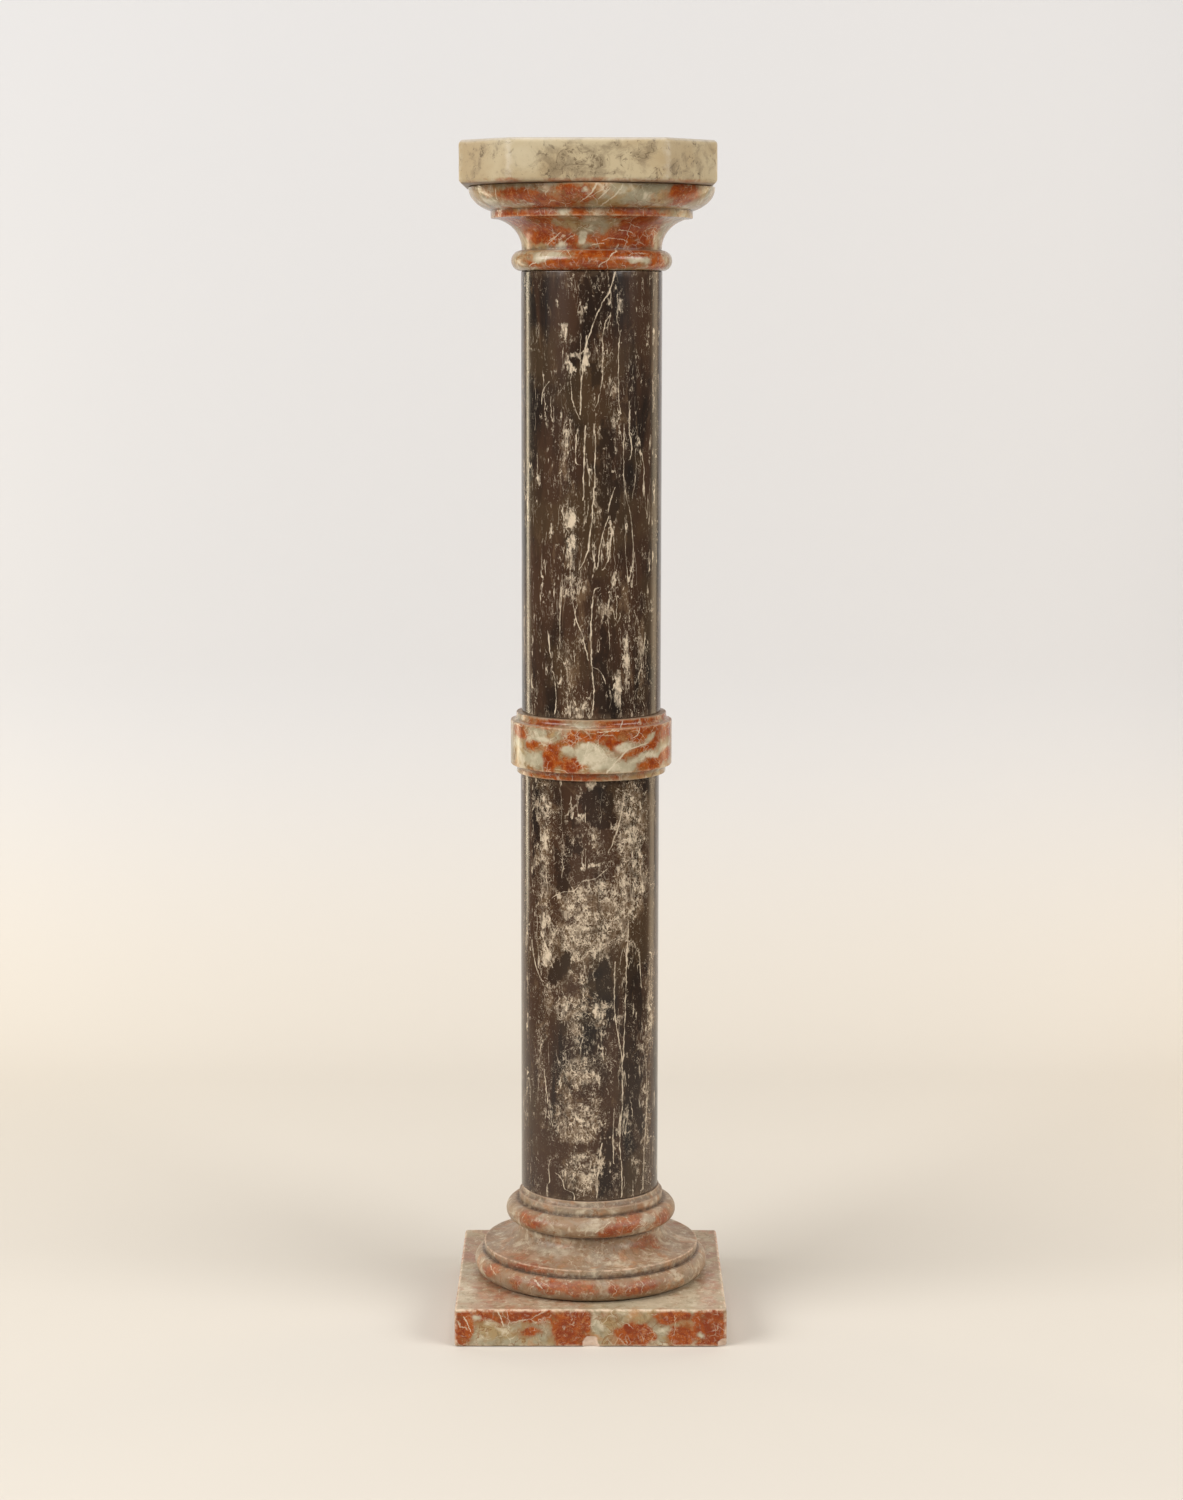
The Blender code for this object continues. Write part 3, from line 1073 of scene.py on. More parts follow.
@dataclass
class TurnedStone(Piece):
    """A stone made by turning an outline about the column's axis.

    Attributes:
        ease: width of the rounding on its arrises.
        span: longest edge along the outline.
        joint: height of the dirt and painted shade along its beds.
        turns: flats round the stone.
        corner: bend from which a point of the outline is an arris or a hollow that is eased.
        rub_reach: distance from an arris at which its rubbing ends.
        dirt_and_shade_reach: distance from a hollow at which its dirt and painted shade end.
        least_arris: bend in radians that stays unrubbed.
        least_hollow: bend in radians that stays free of dirt and painted shade.
    """

    ease: float = 0.0006
    span: float = 0.0016
    joint: float = 0.0008
    turns: int = 320
    corner: float = math.radians(28.0)
    rub_reach: float = 0.0022
    dirt_and_shade_reach: float = 0.0050
    least_arris: float = 0.45
    least_hollow: float = 0.25

    def __post_init__(self) -> None:
        super().__post_init__()

    def outline(self) -> list[Point]:
        """Return the half section, with levels above the bed."""
        raise NotImplementedError

    def radius_at(self, level: float) -> float:
        """Return the stone's outermost radius at a level."""
        points = self.outline()
        best = min(point[0] for point in points[1:-1])
        for (radius, height), (next_radius, next_height) in zip(points, points[1:]):
            if min(height, next_height) - 1e-6 <= level <= max(height, next_height) + 1e-6:
                rise = next_height - height
                share = (level - height) / rise if abs(rise) > 1e-9 else 0.0
                best = max(best, radius + (next_radius - radius) * share)
        return best

    def spot(self, around: float, up: float) -> tuple[Vector, float]:
        """Return a point of the surface, given degrees from the front and millimetres up."""
        turn = math.radians(around)
        radius = self.radius_at(up * MM)
        outwards = Vector((radius * math.sin(turn), -radius * math.cos(turn), up * MM))
        return self.centre + outwards, turn

    def drawing(self, graph: Graph) -> Drawing:
        """Return the drawing unrolled round the column's axis."""
        reach = self.high.x - self.centre.x

        def unrolled(place: Value) -> Value:
            """Turn a place into millimetres round and up."""
            bearing = place.part("X").bearing(place.part("Y") * -1.0)
            level = place.part("Z").scaled(1.0 / MM, -self.low.z / MM)
            return graph.joined(bearing * (reach / MM), level, 1.0)

        def widening(up: float) -> float:
            """Return how much narrower than the widest ring the ring at a height is."""
            return reach / self.radius_at(up * MM)

        return Drawing(graph, unrolled, math.radians(reach / MM), widening)

    def section(self, shape: bmesh.types.BMesh) -> None:
        """Draw the eased outline into a mesh as a row of edges, with its arris and hollow numbers."""
        arris = shape.verts.layers.float.new("arris")
        hollow = shape.verts.layers.float.new("hollow")
        shape.verts.layers.float.new("fresh")
        row = [shape.verts.new((radius, 0.0, level)) for radius, level in self.outline()]
        for pair in zip(row, row[1:]):
            shape.edges.new(pair)
        corners = [middle for before, middle, after in zip(row, row[1:], row[2:])
                   if self.bend(before, middle, after) > self.corner]
        bmesh.ops.bevel(
            shape, geom=corners, offset=self.ease, offset_type="OFFSET", segments=3, profile=0.5,
            affect="VERTICES", material=-1,
        )
        for edge in list(shape.edges):
            cuts = int(edge.calc_length() / self.span)
            near_axis = min(vertex.co.x for vertex in edge.verts) < 0.001
            if cuts and not near_axis:
                bmesh.ops.subdivide_edges(shape, edges=[edge], cuts=cuts)
        self.score(shape, arris, hollow)

    @staticmethod
    def bend(before: bmesh.types.BMVert, middle: bmesh.types.BMVert, after: bmesh.types.BMVert) -> float:
        """Return how sharply the outline bends at a point."""
        return abs((middle.co - before.co).angle(after.co - middle.co, 0.0))

    def score(self, shape: bmesh.types.BMesh, arris: object, hollow: object) -> None:
        """Write how near each point of the outline lies to an arris or a hollow.

        Args:
            shape: the mesh that holds the outline.
            arris: the layer of arrises.
            hollow: the layer of hollows.
        """
        shape.verts.ensure_lookup_table()
        current = next(v for v in shape.verts if len(v.link_edges) == 1 and v.co.z < 1e-6)
        row = [current]
        link = current.link_edges[0]
        while True:
            current = link.other_vert(current)
            row.append(current)
            onward = [edge for edge in current.link_edges if edge is not link]
            if not onward:
                break
            link = onward[0]
        turns = []
        for before, middle, after in zip(row, row[1:], row[2:]):
            run, onward = middle.co - before.co, after.co - middle.co
            turn = math.atan2(run.x * onward.z - run.z * onward.x, run.x * onward.x + run.z * onward.z)
            turns.append((middle.co, turn))
        for vertex in row:
            near = [(turn, (vertex.co - place).length) for place, turn in turns]
            outer = sum(turn * max(0.0, 1.0 - away / self.rub_reach) for turn, away in near if turn > 0.0)
            # Hollows and the beds by the joints get dirt and painted shade.
            inner = sum(-turn * max(0.0, 1.0 - away / self.dirt_and_shade_reach) for turn, away in near if turn < 0.0)
            vertex[arris] = min(1.0, max(0.0, outer - self.least_arris) * 1.1)
            joint = 1.0 - min(vertex.co.z, self.high.z - self.low.z - vertex.co.z) / self.joint
            vertex[hollow] = min(1.0, max(0.0, inner - self.least_hollow, joint))

    def shape(self) -> bmesh.types.BMesh:
        """Turn the outline about the axis and move the stone to its place."""
        shape = bmesh.new()
        self.section(shape)
        bmesh.ops.spin(
            shape, geom=list(shape.verts) + list(shape.edges), cent=(0.0, 0.0, 0.0), axis=(0.0, 0.0, 1.0),
            dvec=(0.0, 0.0, 0.0), angle=2.0 * math.pi, steps=self.turns, use_merge=True,
        )
        bmesh.ops.remove_doubles(shape, verts=shape.verts, dist=0.00001)
        bmesh.ops.recalc_face_normals(shape, faces=shape.faces)
        bmesh.ops.translate(shape, verts=shape.verts, vec=self.centre)
        return shape


@dataclass
class Base(TurnedStone):
    """The moulded base: two tori with a scotia between them, and a fillet under the drum."""

    shaft: float = 0.0698
    lower_torus: Point = (0.1191, 0.0231)
    lower_fillet: Point = (0.1095, 0.0083)
    ledge: float = 0.0010
    scotia: float = 0.0173
    middle_fillet: Point = (0.0740, 0.0066)
    upper_torus: Point = (0.0868, 0.0204)
    top_fillet: Point = (0.0734, 0.0093)
    apophyge: float = 0.0060

    def outline(self) -> list[Point]:
        """Return the half section."""
        line = Outline()
        line.torus(self.lower_torus[0], 0.0, self.lower_torus[1])
        level = self.lower_torus[1]
        line.to(self.lower_fillet[0], level)
        level += self.lower_fillet[1]
        line.to(self.lower_fillet[0], level)
        foot = self.lower_fillet[0] - self.ledge
        line.arc((foot, level + self.scotia), (foot - self.middle_fillet[0], self.scotia), 270.0, 180.0)
        level += self.scotia + self.middle_fillet[1]
        line.to(self.middle_fillet[0], level)
        line.torus(self.upper_torus[0], level, self.upper_torus[1])
        level += self.upper_torus[1]
        line.to(self.top_fillet[0], level)
        level += self.top_fillet[1]
        flare = self.top_fillet[0] - self.shaft
        line.arc((self.top_fillet[0], level + self.apophyge), (flare, self.apophyge), 270.0, 180.0)
        return line.close()


@dataclass
class Drum(TurnedStone):
    """A plain drum of the shaft."""

    span: float = 0.006
    ease: float = 0.0007
    rim: float = 0.0012

    def outline(self) -> list[Point]:
        """Return the half section."""
        radius, height = (self.high.x - self.low.x) / 2.0, self.high.z - self.low.z
        line = Outline().to(radius, 0.0).to(radius, self.rim).to(radius, height - self.rim)
        return line.to(radius, height).close()


@dataclass
class Collar(TurnedStone):
    """The collar between the drums: a flat band between two coves."""

    foot: Point = (0.0749, 0.0033)
    cove: float = 0.0052
    band: Point = (0.0811, 0.0443)
    top: float = 0.0753
    ease: float = 0.0005

    def outline(self) -> list[Point]:
        """Return the half section."""
        height = self.high.z - self.low.z
        line = Outline().to(self.foot[0], 0.0).to(*self.foot)
        level = self.foot[1]
        line.arc((self.band[0], level), (self.band[0] - self.foot[0], self.cove), 180.0, 90.0)
        level += self.cove + self.band[1]
        line.arc((self.band[0], level + self.cove), (self.band[0] - self.top, self.cove), 270.0, 180.0)
        return line.to(self.top, height).close()


@dataclass
class Capital(TurnedStone):
    """The capital: astragal, cavetto, fillet and ovolo under the slab."""

    astragal: Point = (0.0795, 0.0200)
    neck: Point = (0.0692, 0.0018)
    cavetto: Point = (0.0340, 0.0300)
    sweep: float = 77.0
    fillet: Point = (0.0040, 0.0075)
    ovolo_foot: float = 0.0010
    ovolo: Point = (0.0207, 0.0218)
    ovolo_start: float = 28.0

    def outline(self) -> list[Point]:
        """Return the half section."""
        line = Outline().torus(self.astragal[0], 0.0, self.astragal[1])
        level = self.astragal[1]
        line.to(self.neck[0], level)
        level += self.neck[1]
        line.arc((self.neck[0] + self.cavetto[0], level), self.cavetto, 180.0, 180.0 - self.sweep)
        radius, level = line.points[-1]
        radius += self.fillet[0]
        line.to(radius, level)
        level += self.fillet[1]
        line.to(radius, level)
        rim = radius + self.ovolo_foot + self.ovolo[0]
        start = math.radians(self.ovolo_start)
        radii = (self.ovolo[0] / (1.0 - math.sin(start)), self.ovolo[1] / math.cos(start))
        line.arc((rim - radii[0], level + self.ovolo[1]), radii, self.ovolo_start - 90.0, 0.0)
        return line.to(rim, self.high.z - self.low.z).close()


@dataclass
class Block(Piece):
    """A square block, with its upright edges cut off where corner_cut is set.

    Attributes:
        corner_cut: length cut from each side at a corner.
        ease: width of the rounding on its arrises.
        span: spacing of the cuts that make its faces fine enough to wear.
        chip_span: spacing of the cuts where a chip is.
        rim: distance of the first cut from the rounding.
        dirt_and_shade: height of the dirt and painted shade above its bed.
    """

    corner_cut: float = 0.0
    ease: float = 0.0028
    span: float = 0.0040
    chip_span: float = 0.0010
    rim: float = 0.0004
    dirt_and_shade: float = 0.0016

    def half(self) -> float:
        """Return half the block's width."""
        return (self.high.x - self.low.x) / 2.0

    def spot(self, around: float, up: float) -> tuple[Vector, float]:
        """Return a point of the front or the cut corners beside it, given millimetres along and up."""
        centre, half = self.centre, self.half()
        flat = half - self.corner_cut
        along = around * MM
        past = max(0.0, abs(along) - flat) if self.corner_cut else 0.0
        side = math.copysign(1.0, along)
        step = past * math.sqrt(0.5)
        across = (min(abs(along), flat) if self.corner_cut else abs(along)) * side + step * side
        turn = side * math.radians(45.0) if past > 0.0 else 0.0
        return Vector((centre.x + across, centre.y - half + step, centre.z + up * MM)), turn

    def drawing(self, graph: Graph) -> Drawing:
        """Return the drawing unrolled along the front and the cut corners beside it."""
        flat = (self.half() - self.corner_cut) / MM

        def unrolled(place: Value) -> Value:
            """Turn a place into millimetres along and up."""
            along = (place.part("X") - self.centre.x) * (1.0 / MM)
            if self.corner_cut:
                past = (abs(along) - flat).greater(0.0) * (math.sqrt(2.0) - 1.0)
                along = along + along.sign() * past
            return graph.joined(along, place.part("Z").scaled(1.0 / MM, -self.low.z / MM), 1.0)

        return Drawing(graph, unrolled)

    def shape(self) -> bmesh.types.BMesh:
        """Cut the block, round its arrises and divide its faces."""
        shape = bmesh.new()
        bmesh.ops.create_cube(shape, size=1.0)
        bmesh.ops.scale(shape, vec=self.high - self.low, verts=shape.verts)
        if self.corner_cut:
            upright = [e for e in shape.edges if abs(e.verts[0].co.z - e.verts[1].co.z) > self.ease]
            bmesh.ops.bevel(
                shape, geom=upright, offset=self.corner_cut, offset_type="OFFSET", segments=1,
                profile=0.5, affect="EDGES", material=-1,
            )
        bmesh.ops.bevel(
            shape, geom=list(shape.edges), offset=self.ease, offset_type="OFFSET", segments=6,
            profile=0.5, affect="EDGES", material=-1,
        )
        self.divide(shape)
        bmesh.ops.translate(shape, verts=shape.verts, vec=(self.low + self.high) / 2.0)
        self.score(shape)
        return shape

    def divide(self, shape: bmesh.types.BMesh) -> None:
        """Cut the faces into a net along all three axes."""
        middle, size = (self.low + self.high) / 2.0, self.high - self.low
        for axis, normal in enumerate(Matrix.Identity(3)):
            count = int(size[axis] / self.span)
            levels = [size[axis] * (index / count - 0.5) for index in range(1, count)]
            levels += [side * (size[axis] / 2.0 - self.ease - self.rim) for side in (-1.0, 1.0)]
            for chip in self.chips:
                place = self.spot(chip.around, chip.up)[0] - middle
                reach = (chip.high if axis == 2 else chip.wide) / 2.0 * MM
                count = int(2.0 * reach / self.chip_span)
                levels += [place[axis] + reach * (2.0 * index / count - 1.0) for index in range(count + 1)]
            for level in levels:
                geometry = list(shape.verts) + list(shape.edges) + list(shape.faces)
                bmesh.ops.bisect_plane(
                    shape, geom=geometry, dist=0.00005, plane_co=normal * level, plane_no=normal
                )

    def sides(self) -> list[tuple[Vector, float]]:
        """Return the faces' planes as a normal and a distance from the block's middle."""
        half, tall = self.half(), (self.high.z - self.low.z) / 2.0
        planes = [(Vector((0.0, 0.0, sign)), tall) for sign in (-1.0, 1.0)]
        corner = (2.0 * half - self.corner_cut) * math.sqrt(0.5)
        for eighth in range(0, 8, 1 if self.corner_cut else 2):
            angle = eighth * math.pi / 4.0
            normal = Vector((math.cos(angle), math.sin(angle), 0.0))
            planes.append((normal, corner if eighth % 2 else half))
        return planes

    def score(self, shape: bmesh.types.BMesh) -> None:
        """Write how near each point lies to an arris."""
        arris = shape.verts.layers.float.new("arris")
        hollow = shape.verts.layers.float.new("hollow")
        shape.verts.layers.float.new("fresh")
        middle, planes = (self.low + self.high) / 2.0, self.sides()
        for vertex in shape.verts:
            # Darker just above the bed: dirt and painted shade at the foot.
            vertex[hollow] = max(0.0, 1.0 - (vertex.co.z - self.low.z) / self.dirt_and_shade)
            offset = vertex.co - middle
            away = sorted(reach - offset.dot(normal) for normal, reach in planes)
            vertex[arris] = max(0.0, 1.0 - max(0.0, away[1] - self.ease * 0.3) / (self.ease * 0.9))


@dataclass(frozen=True)
class Studio:
    """Pale floor and wall, soft lights and the camera at the photograph's place."""

    lens: float = 73.74
    sensor: float = 36.0
    look_down: float = 8.09
    roll: float = 0.06
    camera_place: tuple[float, float, float] = (0.0003, -3.07, 1.0156)
    wall_distance: float = 1.45
    wall_height: float = 4.0
    half_width: float = 1.2
    sweep: float = 0.5
    wall_colour: Colour = srgb(204, 204, 205)
    floor_colour: Colour = srgb(206, 200, 190)

    def camera(self) -> None:
        """Set up the camera."""
        data = bpy.data.cameras.new("camera")
        data.lens = self.lens
        data.sensor_width = self.sensor
        data.sensor_fit = "AUTO"
        camera = bpy.data.objects.new("camera", data)
        bpy.context.scene.collection.objects.link(camera)
        tilt = Matrix.Rotation(math.radians(90.0 - self.look_down), 4, "X")
        roll = Matrix.Rotation(math.radians(self.roll), 4, "Z")
        camera.matrix_world = Matrix.Translation(self.camera_place) @ tilt @ roll
        bpy.context.scene.camera = camera

    def backdrop(self) -> None:
        """Make the floor that sweeps up into the wall."""
        shape = bmesh.new()
        points = [(-self.wall_height, 0.0), (self.wall_distance - self.sweep, 0.0)]
        steps = 16
        for index in range(1, steps + 1):
            angle = math.pi / 2.0 * index / steps
            along = self.wall_distance - self.sweep * (1.0 - math.sin(angle))
            points.append((along, self.sweep * (1.0 - math.cos(angle))))
        points.append((self.wall_distance, self.wall_height))
        row = [shape.verts.new((-self.half_width, along, level)) for along, level in points]
        edges = [shape.edges.new(pair) for pair in zip(row, row[1:])]
        swept = bmesh.ops.extrude_edge_only(shape, edges=edges)["geom"]
        moved = [item for item in swept if isinstance(item, bmesh.types.BMVert)]
        bmesh.ops.translate(shape, verts=moved, vec=(2.0 * self.half_width, 0.0, 0.0))
        bmesh.ops.recalc_face_normals(shape, faces=shape.faces)
        mesh = bpy.data.meshes.new("studio_floor")
        shape.to_mesh(mesh)
        shape.free()
        mesh.shade_smooth()
        graph = Graph("studio_paper")
        height = graph.place().part("Z")
        colour = graph.mix(height.rise(0.0, self.sweep), self.floor_colour, self.wall_colour)
        surface = graph.add("ShaderNodeBsdfPrincipled", None, {"Base Color": colour, "Roughness": 0.8})
        graph.add("ShaderNodeOutputMaterial", None, {"Surface": surface.outputs[0]})
        mesh.materials.append(graph.material)
        floor = bpy.data.objects.new("studio_floor", mesh)
        bpy.context.scene.collection.objects.link(floor)

    @staticmethod
    def lamp(name: str, place: Sequence[float], height: float, size: Point, power: float,
             colour: tuple[float, float, float] = (1.0, 0.985, 0.975)) -> None:
        """Hang one soft rectangular light that points at the column's axis.

        Args:
            name: its name.
            place: where it hangs.
            height: height of the point on the axis.
            size: its width and height.
            power: its watts.
            colour: its colour.
        """
        data = bpy.data.lights.new(name, "AREA")
        data.shape = "RECTANGLE"
        data.size, data.size_y = size
        data.energy = power
        data.color = colour
        lamp = bpy.data.objects.new(name, data)
        way = Vector((0.0, 0.0, height)) - Vector(place)
        lamp.matrix_world = Matrix.Translation(place) @ way.to_track_quat("-Z", "Y").to_matrix().to_4x4()
        bpy.context.scene.collection.objects.link(lamp)

    def lights(self) -> None:
        """Hang the lights and set the room's own pale light."""
        world = bpy.data.worlds.new("room")
        world.use_nodes = True
        bpy.context.scene.world = world
        background = world.node_tree.nodes["Background"]
        background.inputs["Color"].default_value = (1.0, 0.93, 0.84, 1.0)
        background.inputs["Strength"].default_value = 0.17
        self.lamp("key", (-2.9, -1.8, 2.2), 0.6, (2.8, 1.6), 140.0)
        self.lamp("fill", (2.9, -1.8, 2.2), 0.6, (2.6, 1.6), 100.0)
        self.lamp("wall", (0.0, -0.7, 4.2), -3.0, (2.4, 0.8), 52.0)
        self.lamp("window", (-1.6, 1.22, 0.62), 0.62, (0.2, 1.2), 7.0, (1.0, 0.86, 0.62))
        self.lamp("doorway", (1.35, 0.95, 0.8), 0.7, (0.5, 1.8), 6.0, (1.0, 0.80, 0.54))

    def build(self) -> None:
        """Set up everything round the pedestal."""
        self.camera()
        self.backdrop()
        self.lights()
        bpy.context.scene.view_settings.view_transform = "Standard"


CAPITAL_LAYOUT = Layout(
    main=(
        Mark(-33, 69, 46, 11, 3), Mark(-22, 62, 34, 7), Mark(-8, 73, 30, 13), Mark(49, 72, 38, 18),
        Mark(-62, 54, 28, 8), Mark(-32, 54, 34, 8), Mark(-7, 54, 14, 8), Mark(23, 54, 34, 9),
        Mark(-37, 41, 46, 22, 14), Mark(-24, 30, 34, 20, 10), Mark(3, 31, 14, 8),
        Mark(28, 40, 44, 20, -15), Mark(-57, 45, 40, 12, 6), Mark(-50, 34, 30, 14, 6),
        Mark(44, 38, 36, 20), Mark(28, 27, 60, 10), Mark(15, 17, 70, 9), Mark(-20, 5, 60, 9),
        Mark(8, 5, 60, 9), Mark(40, 16, 40, 8), Mark(55, 6, 26, 10),
    ),
    pale=(
        Mark(-3, 75, 7, 5), Mark(14, 75, 9, 7), Mark(-6, 31, 9, 13, -20), Mark(-26, 24, 12, 8),
        Mark(-40, 12, 14, 8), Mark(-27, 15, 14, 7), Mark(31, 9, 14, 6), Mark(41, 9, 14, 6),
        Mark(-16, 54, 12, 6),
    ),
    dark=(Mark(35, 45, 30, 10), Mark(38, 25, 36, 6)),
    veins=(
        Vein(1.3, ((2, 80), (0, 72), (-5, 65))), Vein(1.3, ((14, 80), (11, 70), (5, 61))),
        Vein(1.0, ((-50, 77), (-52, 67))), Vein(1.0, ((22, 24), (14, 14), (5, 3))),
        Vein(0.9, ((-20, 19), (-15, 12), (-24, 2))), Vein(0.8, ((-42, 8), (-52, 4))),
        Vein(0.5, ((8, 28), (19, 30), (30, 27))), Vein(0.5, ((-1, 24), (10, 26))),
        Vein(0.6, ((-36, 28), (-24, 36))), Vein(0.5, ((-38, 24), (-28, 33))),
        Vein(0.5, ((20, 38), (33, 36))), Vein(0.9, ((8, 76), (3, 66))),
    ),
)

COLLAR_LAYOUT = Layout(
    main=(
        Mark(-17, 39, 24, 10, -38), Mark(2, 46, 42, 10), Mark(17, 38, 30, 11, 28), Mark(40, 47, 66, 13),
        Mark(66, 45, 30, 11), Mark(43, 33, 46, 7, -15), Mark(56, 18, 50, 13, -14), Mark(-30, 22, 15, 26),
        Mark(-15, 17, 22, 14), Mark(-62, 46, 24, 13), Mark(-47, 34, 16, 7), Mark(-20, 4, 68, 8),
        Mark(-36, 57, 34, 7), Mark(32, 57, 72, 7),
    ),
    pale=(
        Mark(-3, 28, 24, 21), Mark(8, 20, 30, 15, 15), Mark(-17, 31, 14, 9), Mark(17, 22, 8, 6),
        Mark(23, 34, 18, 11), Mark(45, 40, 20, 4, -25), Mark(46, 24, 70, 6, -12), Mark(24, 14, 26, 12),
        Mark(-65, 33, 18, 8), Mark(-40, 40, 30, 5), Mark(-45, 20, 26, 13), Mark(-8, 57, 26, 5),
    ),
    veins=(
        Vein(1.3, ((26, 31), (18, 20), (11, 9))), Vein(0.9, ((36, 52), (35, 47), (31, 43))),
        Vein(1.0, ((24, 60), (22, 53))), Vein(0.8, ((4, 50), (20, 51))), Vein(0.7, ((8, 48), (18, 53))),
        Vein(0.6, ((-2, 40), (-4, 27))), Vein(0.6, ((2, 40), (9, 30))), Vein(0.9, ((28, 32), (44, 37))),
    ),
)

BASE_LAYOUT = Layout(
    main=(
        Mark(-21, 17, 30, 10), Mark(-7, 15, 30, 10), Mark(-40, 14, 10, 8), Mark(-60, 16, 20, 8),
        Mark(11, 14, 8, 8), Mark(24, 13, 30, 8), Mark(-38, 28, 36, 5), Mark(24, 67, 46, 13, -10),
        Mark(58, 66, 26, 12), Mark(48, 43, 26, 9), Mark(-45, 68, 26, 10),
    ),
    pale=(
        Mark(-37, 73, 7, 6), Mark(0, 70, 22, 12), Mark(43, 70, 16, 8), Mark(-32, 39, 60, 6),
    ),
    veins=(
        Vein(1.0, ((-29, 20), (-24, 13))), Vein(0.9, ((3, 64), (14, 74))),
        Vein(0.8, ((-54, 14), (-62, 20))),
    ),
)

PLINTH_LAYOUT = Layout(
    main=(
        Mark(-80, 33, 112, 12), Mark(-126, 18, 20, 30), Mark(-20, 19, 36, 44, 10), Mark(44, 12, 36, 26),
        Mark(82, 31, 26, 11), Mark(91, 12, 22, 20), Mark(118, 19, 34, 42), Mark(-60, 16, 14, 6),
    ),
    pale=(
        Mark(108, 12, 8, 6), Mark(71, 18, 14, 3), Mark(-112, 30, 8, 6), Mark(66, 41, 110, 6),
        Mark(-34, 41, 40, 5), Mark(-128, 40, 20, 6),
    ),
    veins=(Vein(1.1, ((-125, 31), (-119, 16))), Vein(0.9, ((-92, 38), (-86, 21)))),
)

UPPER_LAYOUT = Layout(
    main=(
        Mark(-20, 260, 12, 64), Mark(-17, 195, 12, 36), Mark(-15, 160, 18, 30), Mark(-17, 40, 12, 60),
        Mark(-8, 82, 12, 24), Mark(10, 365, 8, 34), Mark(18, 322, 15, 16), Mark(31, 60, 10, 90),
        Mark(45, 60, 12, 80), Mark(-10, 10, 30, 24), Mark(10, 108, 16, 20), Mark(-14, 130, 26, 26),
    ),
    dark=(
        Mark(10, 40, 14, 90), Mark(13, 235, 22, 120), Mark(0, 415, 26, 50), Mark(2, 345, 10, 30),
    ),
    pale=(
        Mark(-23, 380, 7, 16, -10), Mark(-18, 348, 7, 20, -22), Mark(-14, 356, 10, 3, -8),
        Mark(-17, 196, 11, 19), Mark(-16, 178, 7, 14), Mark(22, 28, 8, 36), Mark(18, 132, 5, 22),
        Mark(30, 62, 5, 60), Mark(16, 410, 3, 10), Mark(23, 405, 3, 9), Mark(52, 375, 3, 10),
        Mark(60, 375, 3, 10), Mark(-56, 75, 3, 9), Mark(-34, 180, 3, 10), Mark(-48, 232, 3, 6),
        Mark(-5, 352, 4, 22, 8),
    ),
    veins=(
        Vein(1.4, ((19, 436), (15, 419), (7, 402), (0, 382), (-6, 357), (-8, 336), (-9, 298))),
        Vein(1.0, ((-17, 335), (-16, 318), (-14, 306), (-9, 294))),
        Vein(0.8, ((24, 380), (22, 340), (24, 300))),
        Vein(0.9, ((15, 394), (9, 373), (9, 338), (3, 306))),
        Vein(1.4, ((-5, 288), (-6, 250), (-7, 215))), Vein(1.0, ((-11, 285), (-13, 262), (-10, 250))),
        Vein(1.1, ((2, 290), (3, 250), (1, 210), (-1, 180), (-4, 162), (-10, 148))),
        Vein(1.0, ((20, 228), (15, 213), (14, 204))), Vein(1.0, ((14, 200), (8, 175), (5, 150))),
        Vein(1.0, ((16, 195), (15, 165), (9, 148))),
        Vein(0.8, ((27, 290), (27, 240), (33, 200), (36, 170), (35, 148))),
        Vein(1.3, ((-38, 86), (-35, 60))), Vein(0.9, ((-33, 46), (-30, 22), (-31, 4))),
        Vein(0.7, ((-24, 142), (-26, 100), (-27, 60))),
        Vein(0.9, ((-17, 142), (-13, 102), (-8, 85), (-2, 58))),
        Vein(1.3, ((5, 130), (0, 100), (0, 60), (2, 30), (1, 4))),
        Vein(0.8, ((1, 52), (8, 46), (12, 35))), Vein(0.9, ((-36, 330), (-43, 318), (-44, 308))),
        Vein(1.2, ((50, 84), (47, 60), (41, 38))), Vein(1.0, ((60, 330), (60, 300))),
        Vein(1.1, ((32, 312), (32, 280), (34, 268), (32, 254))),
    ),
)

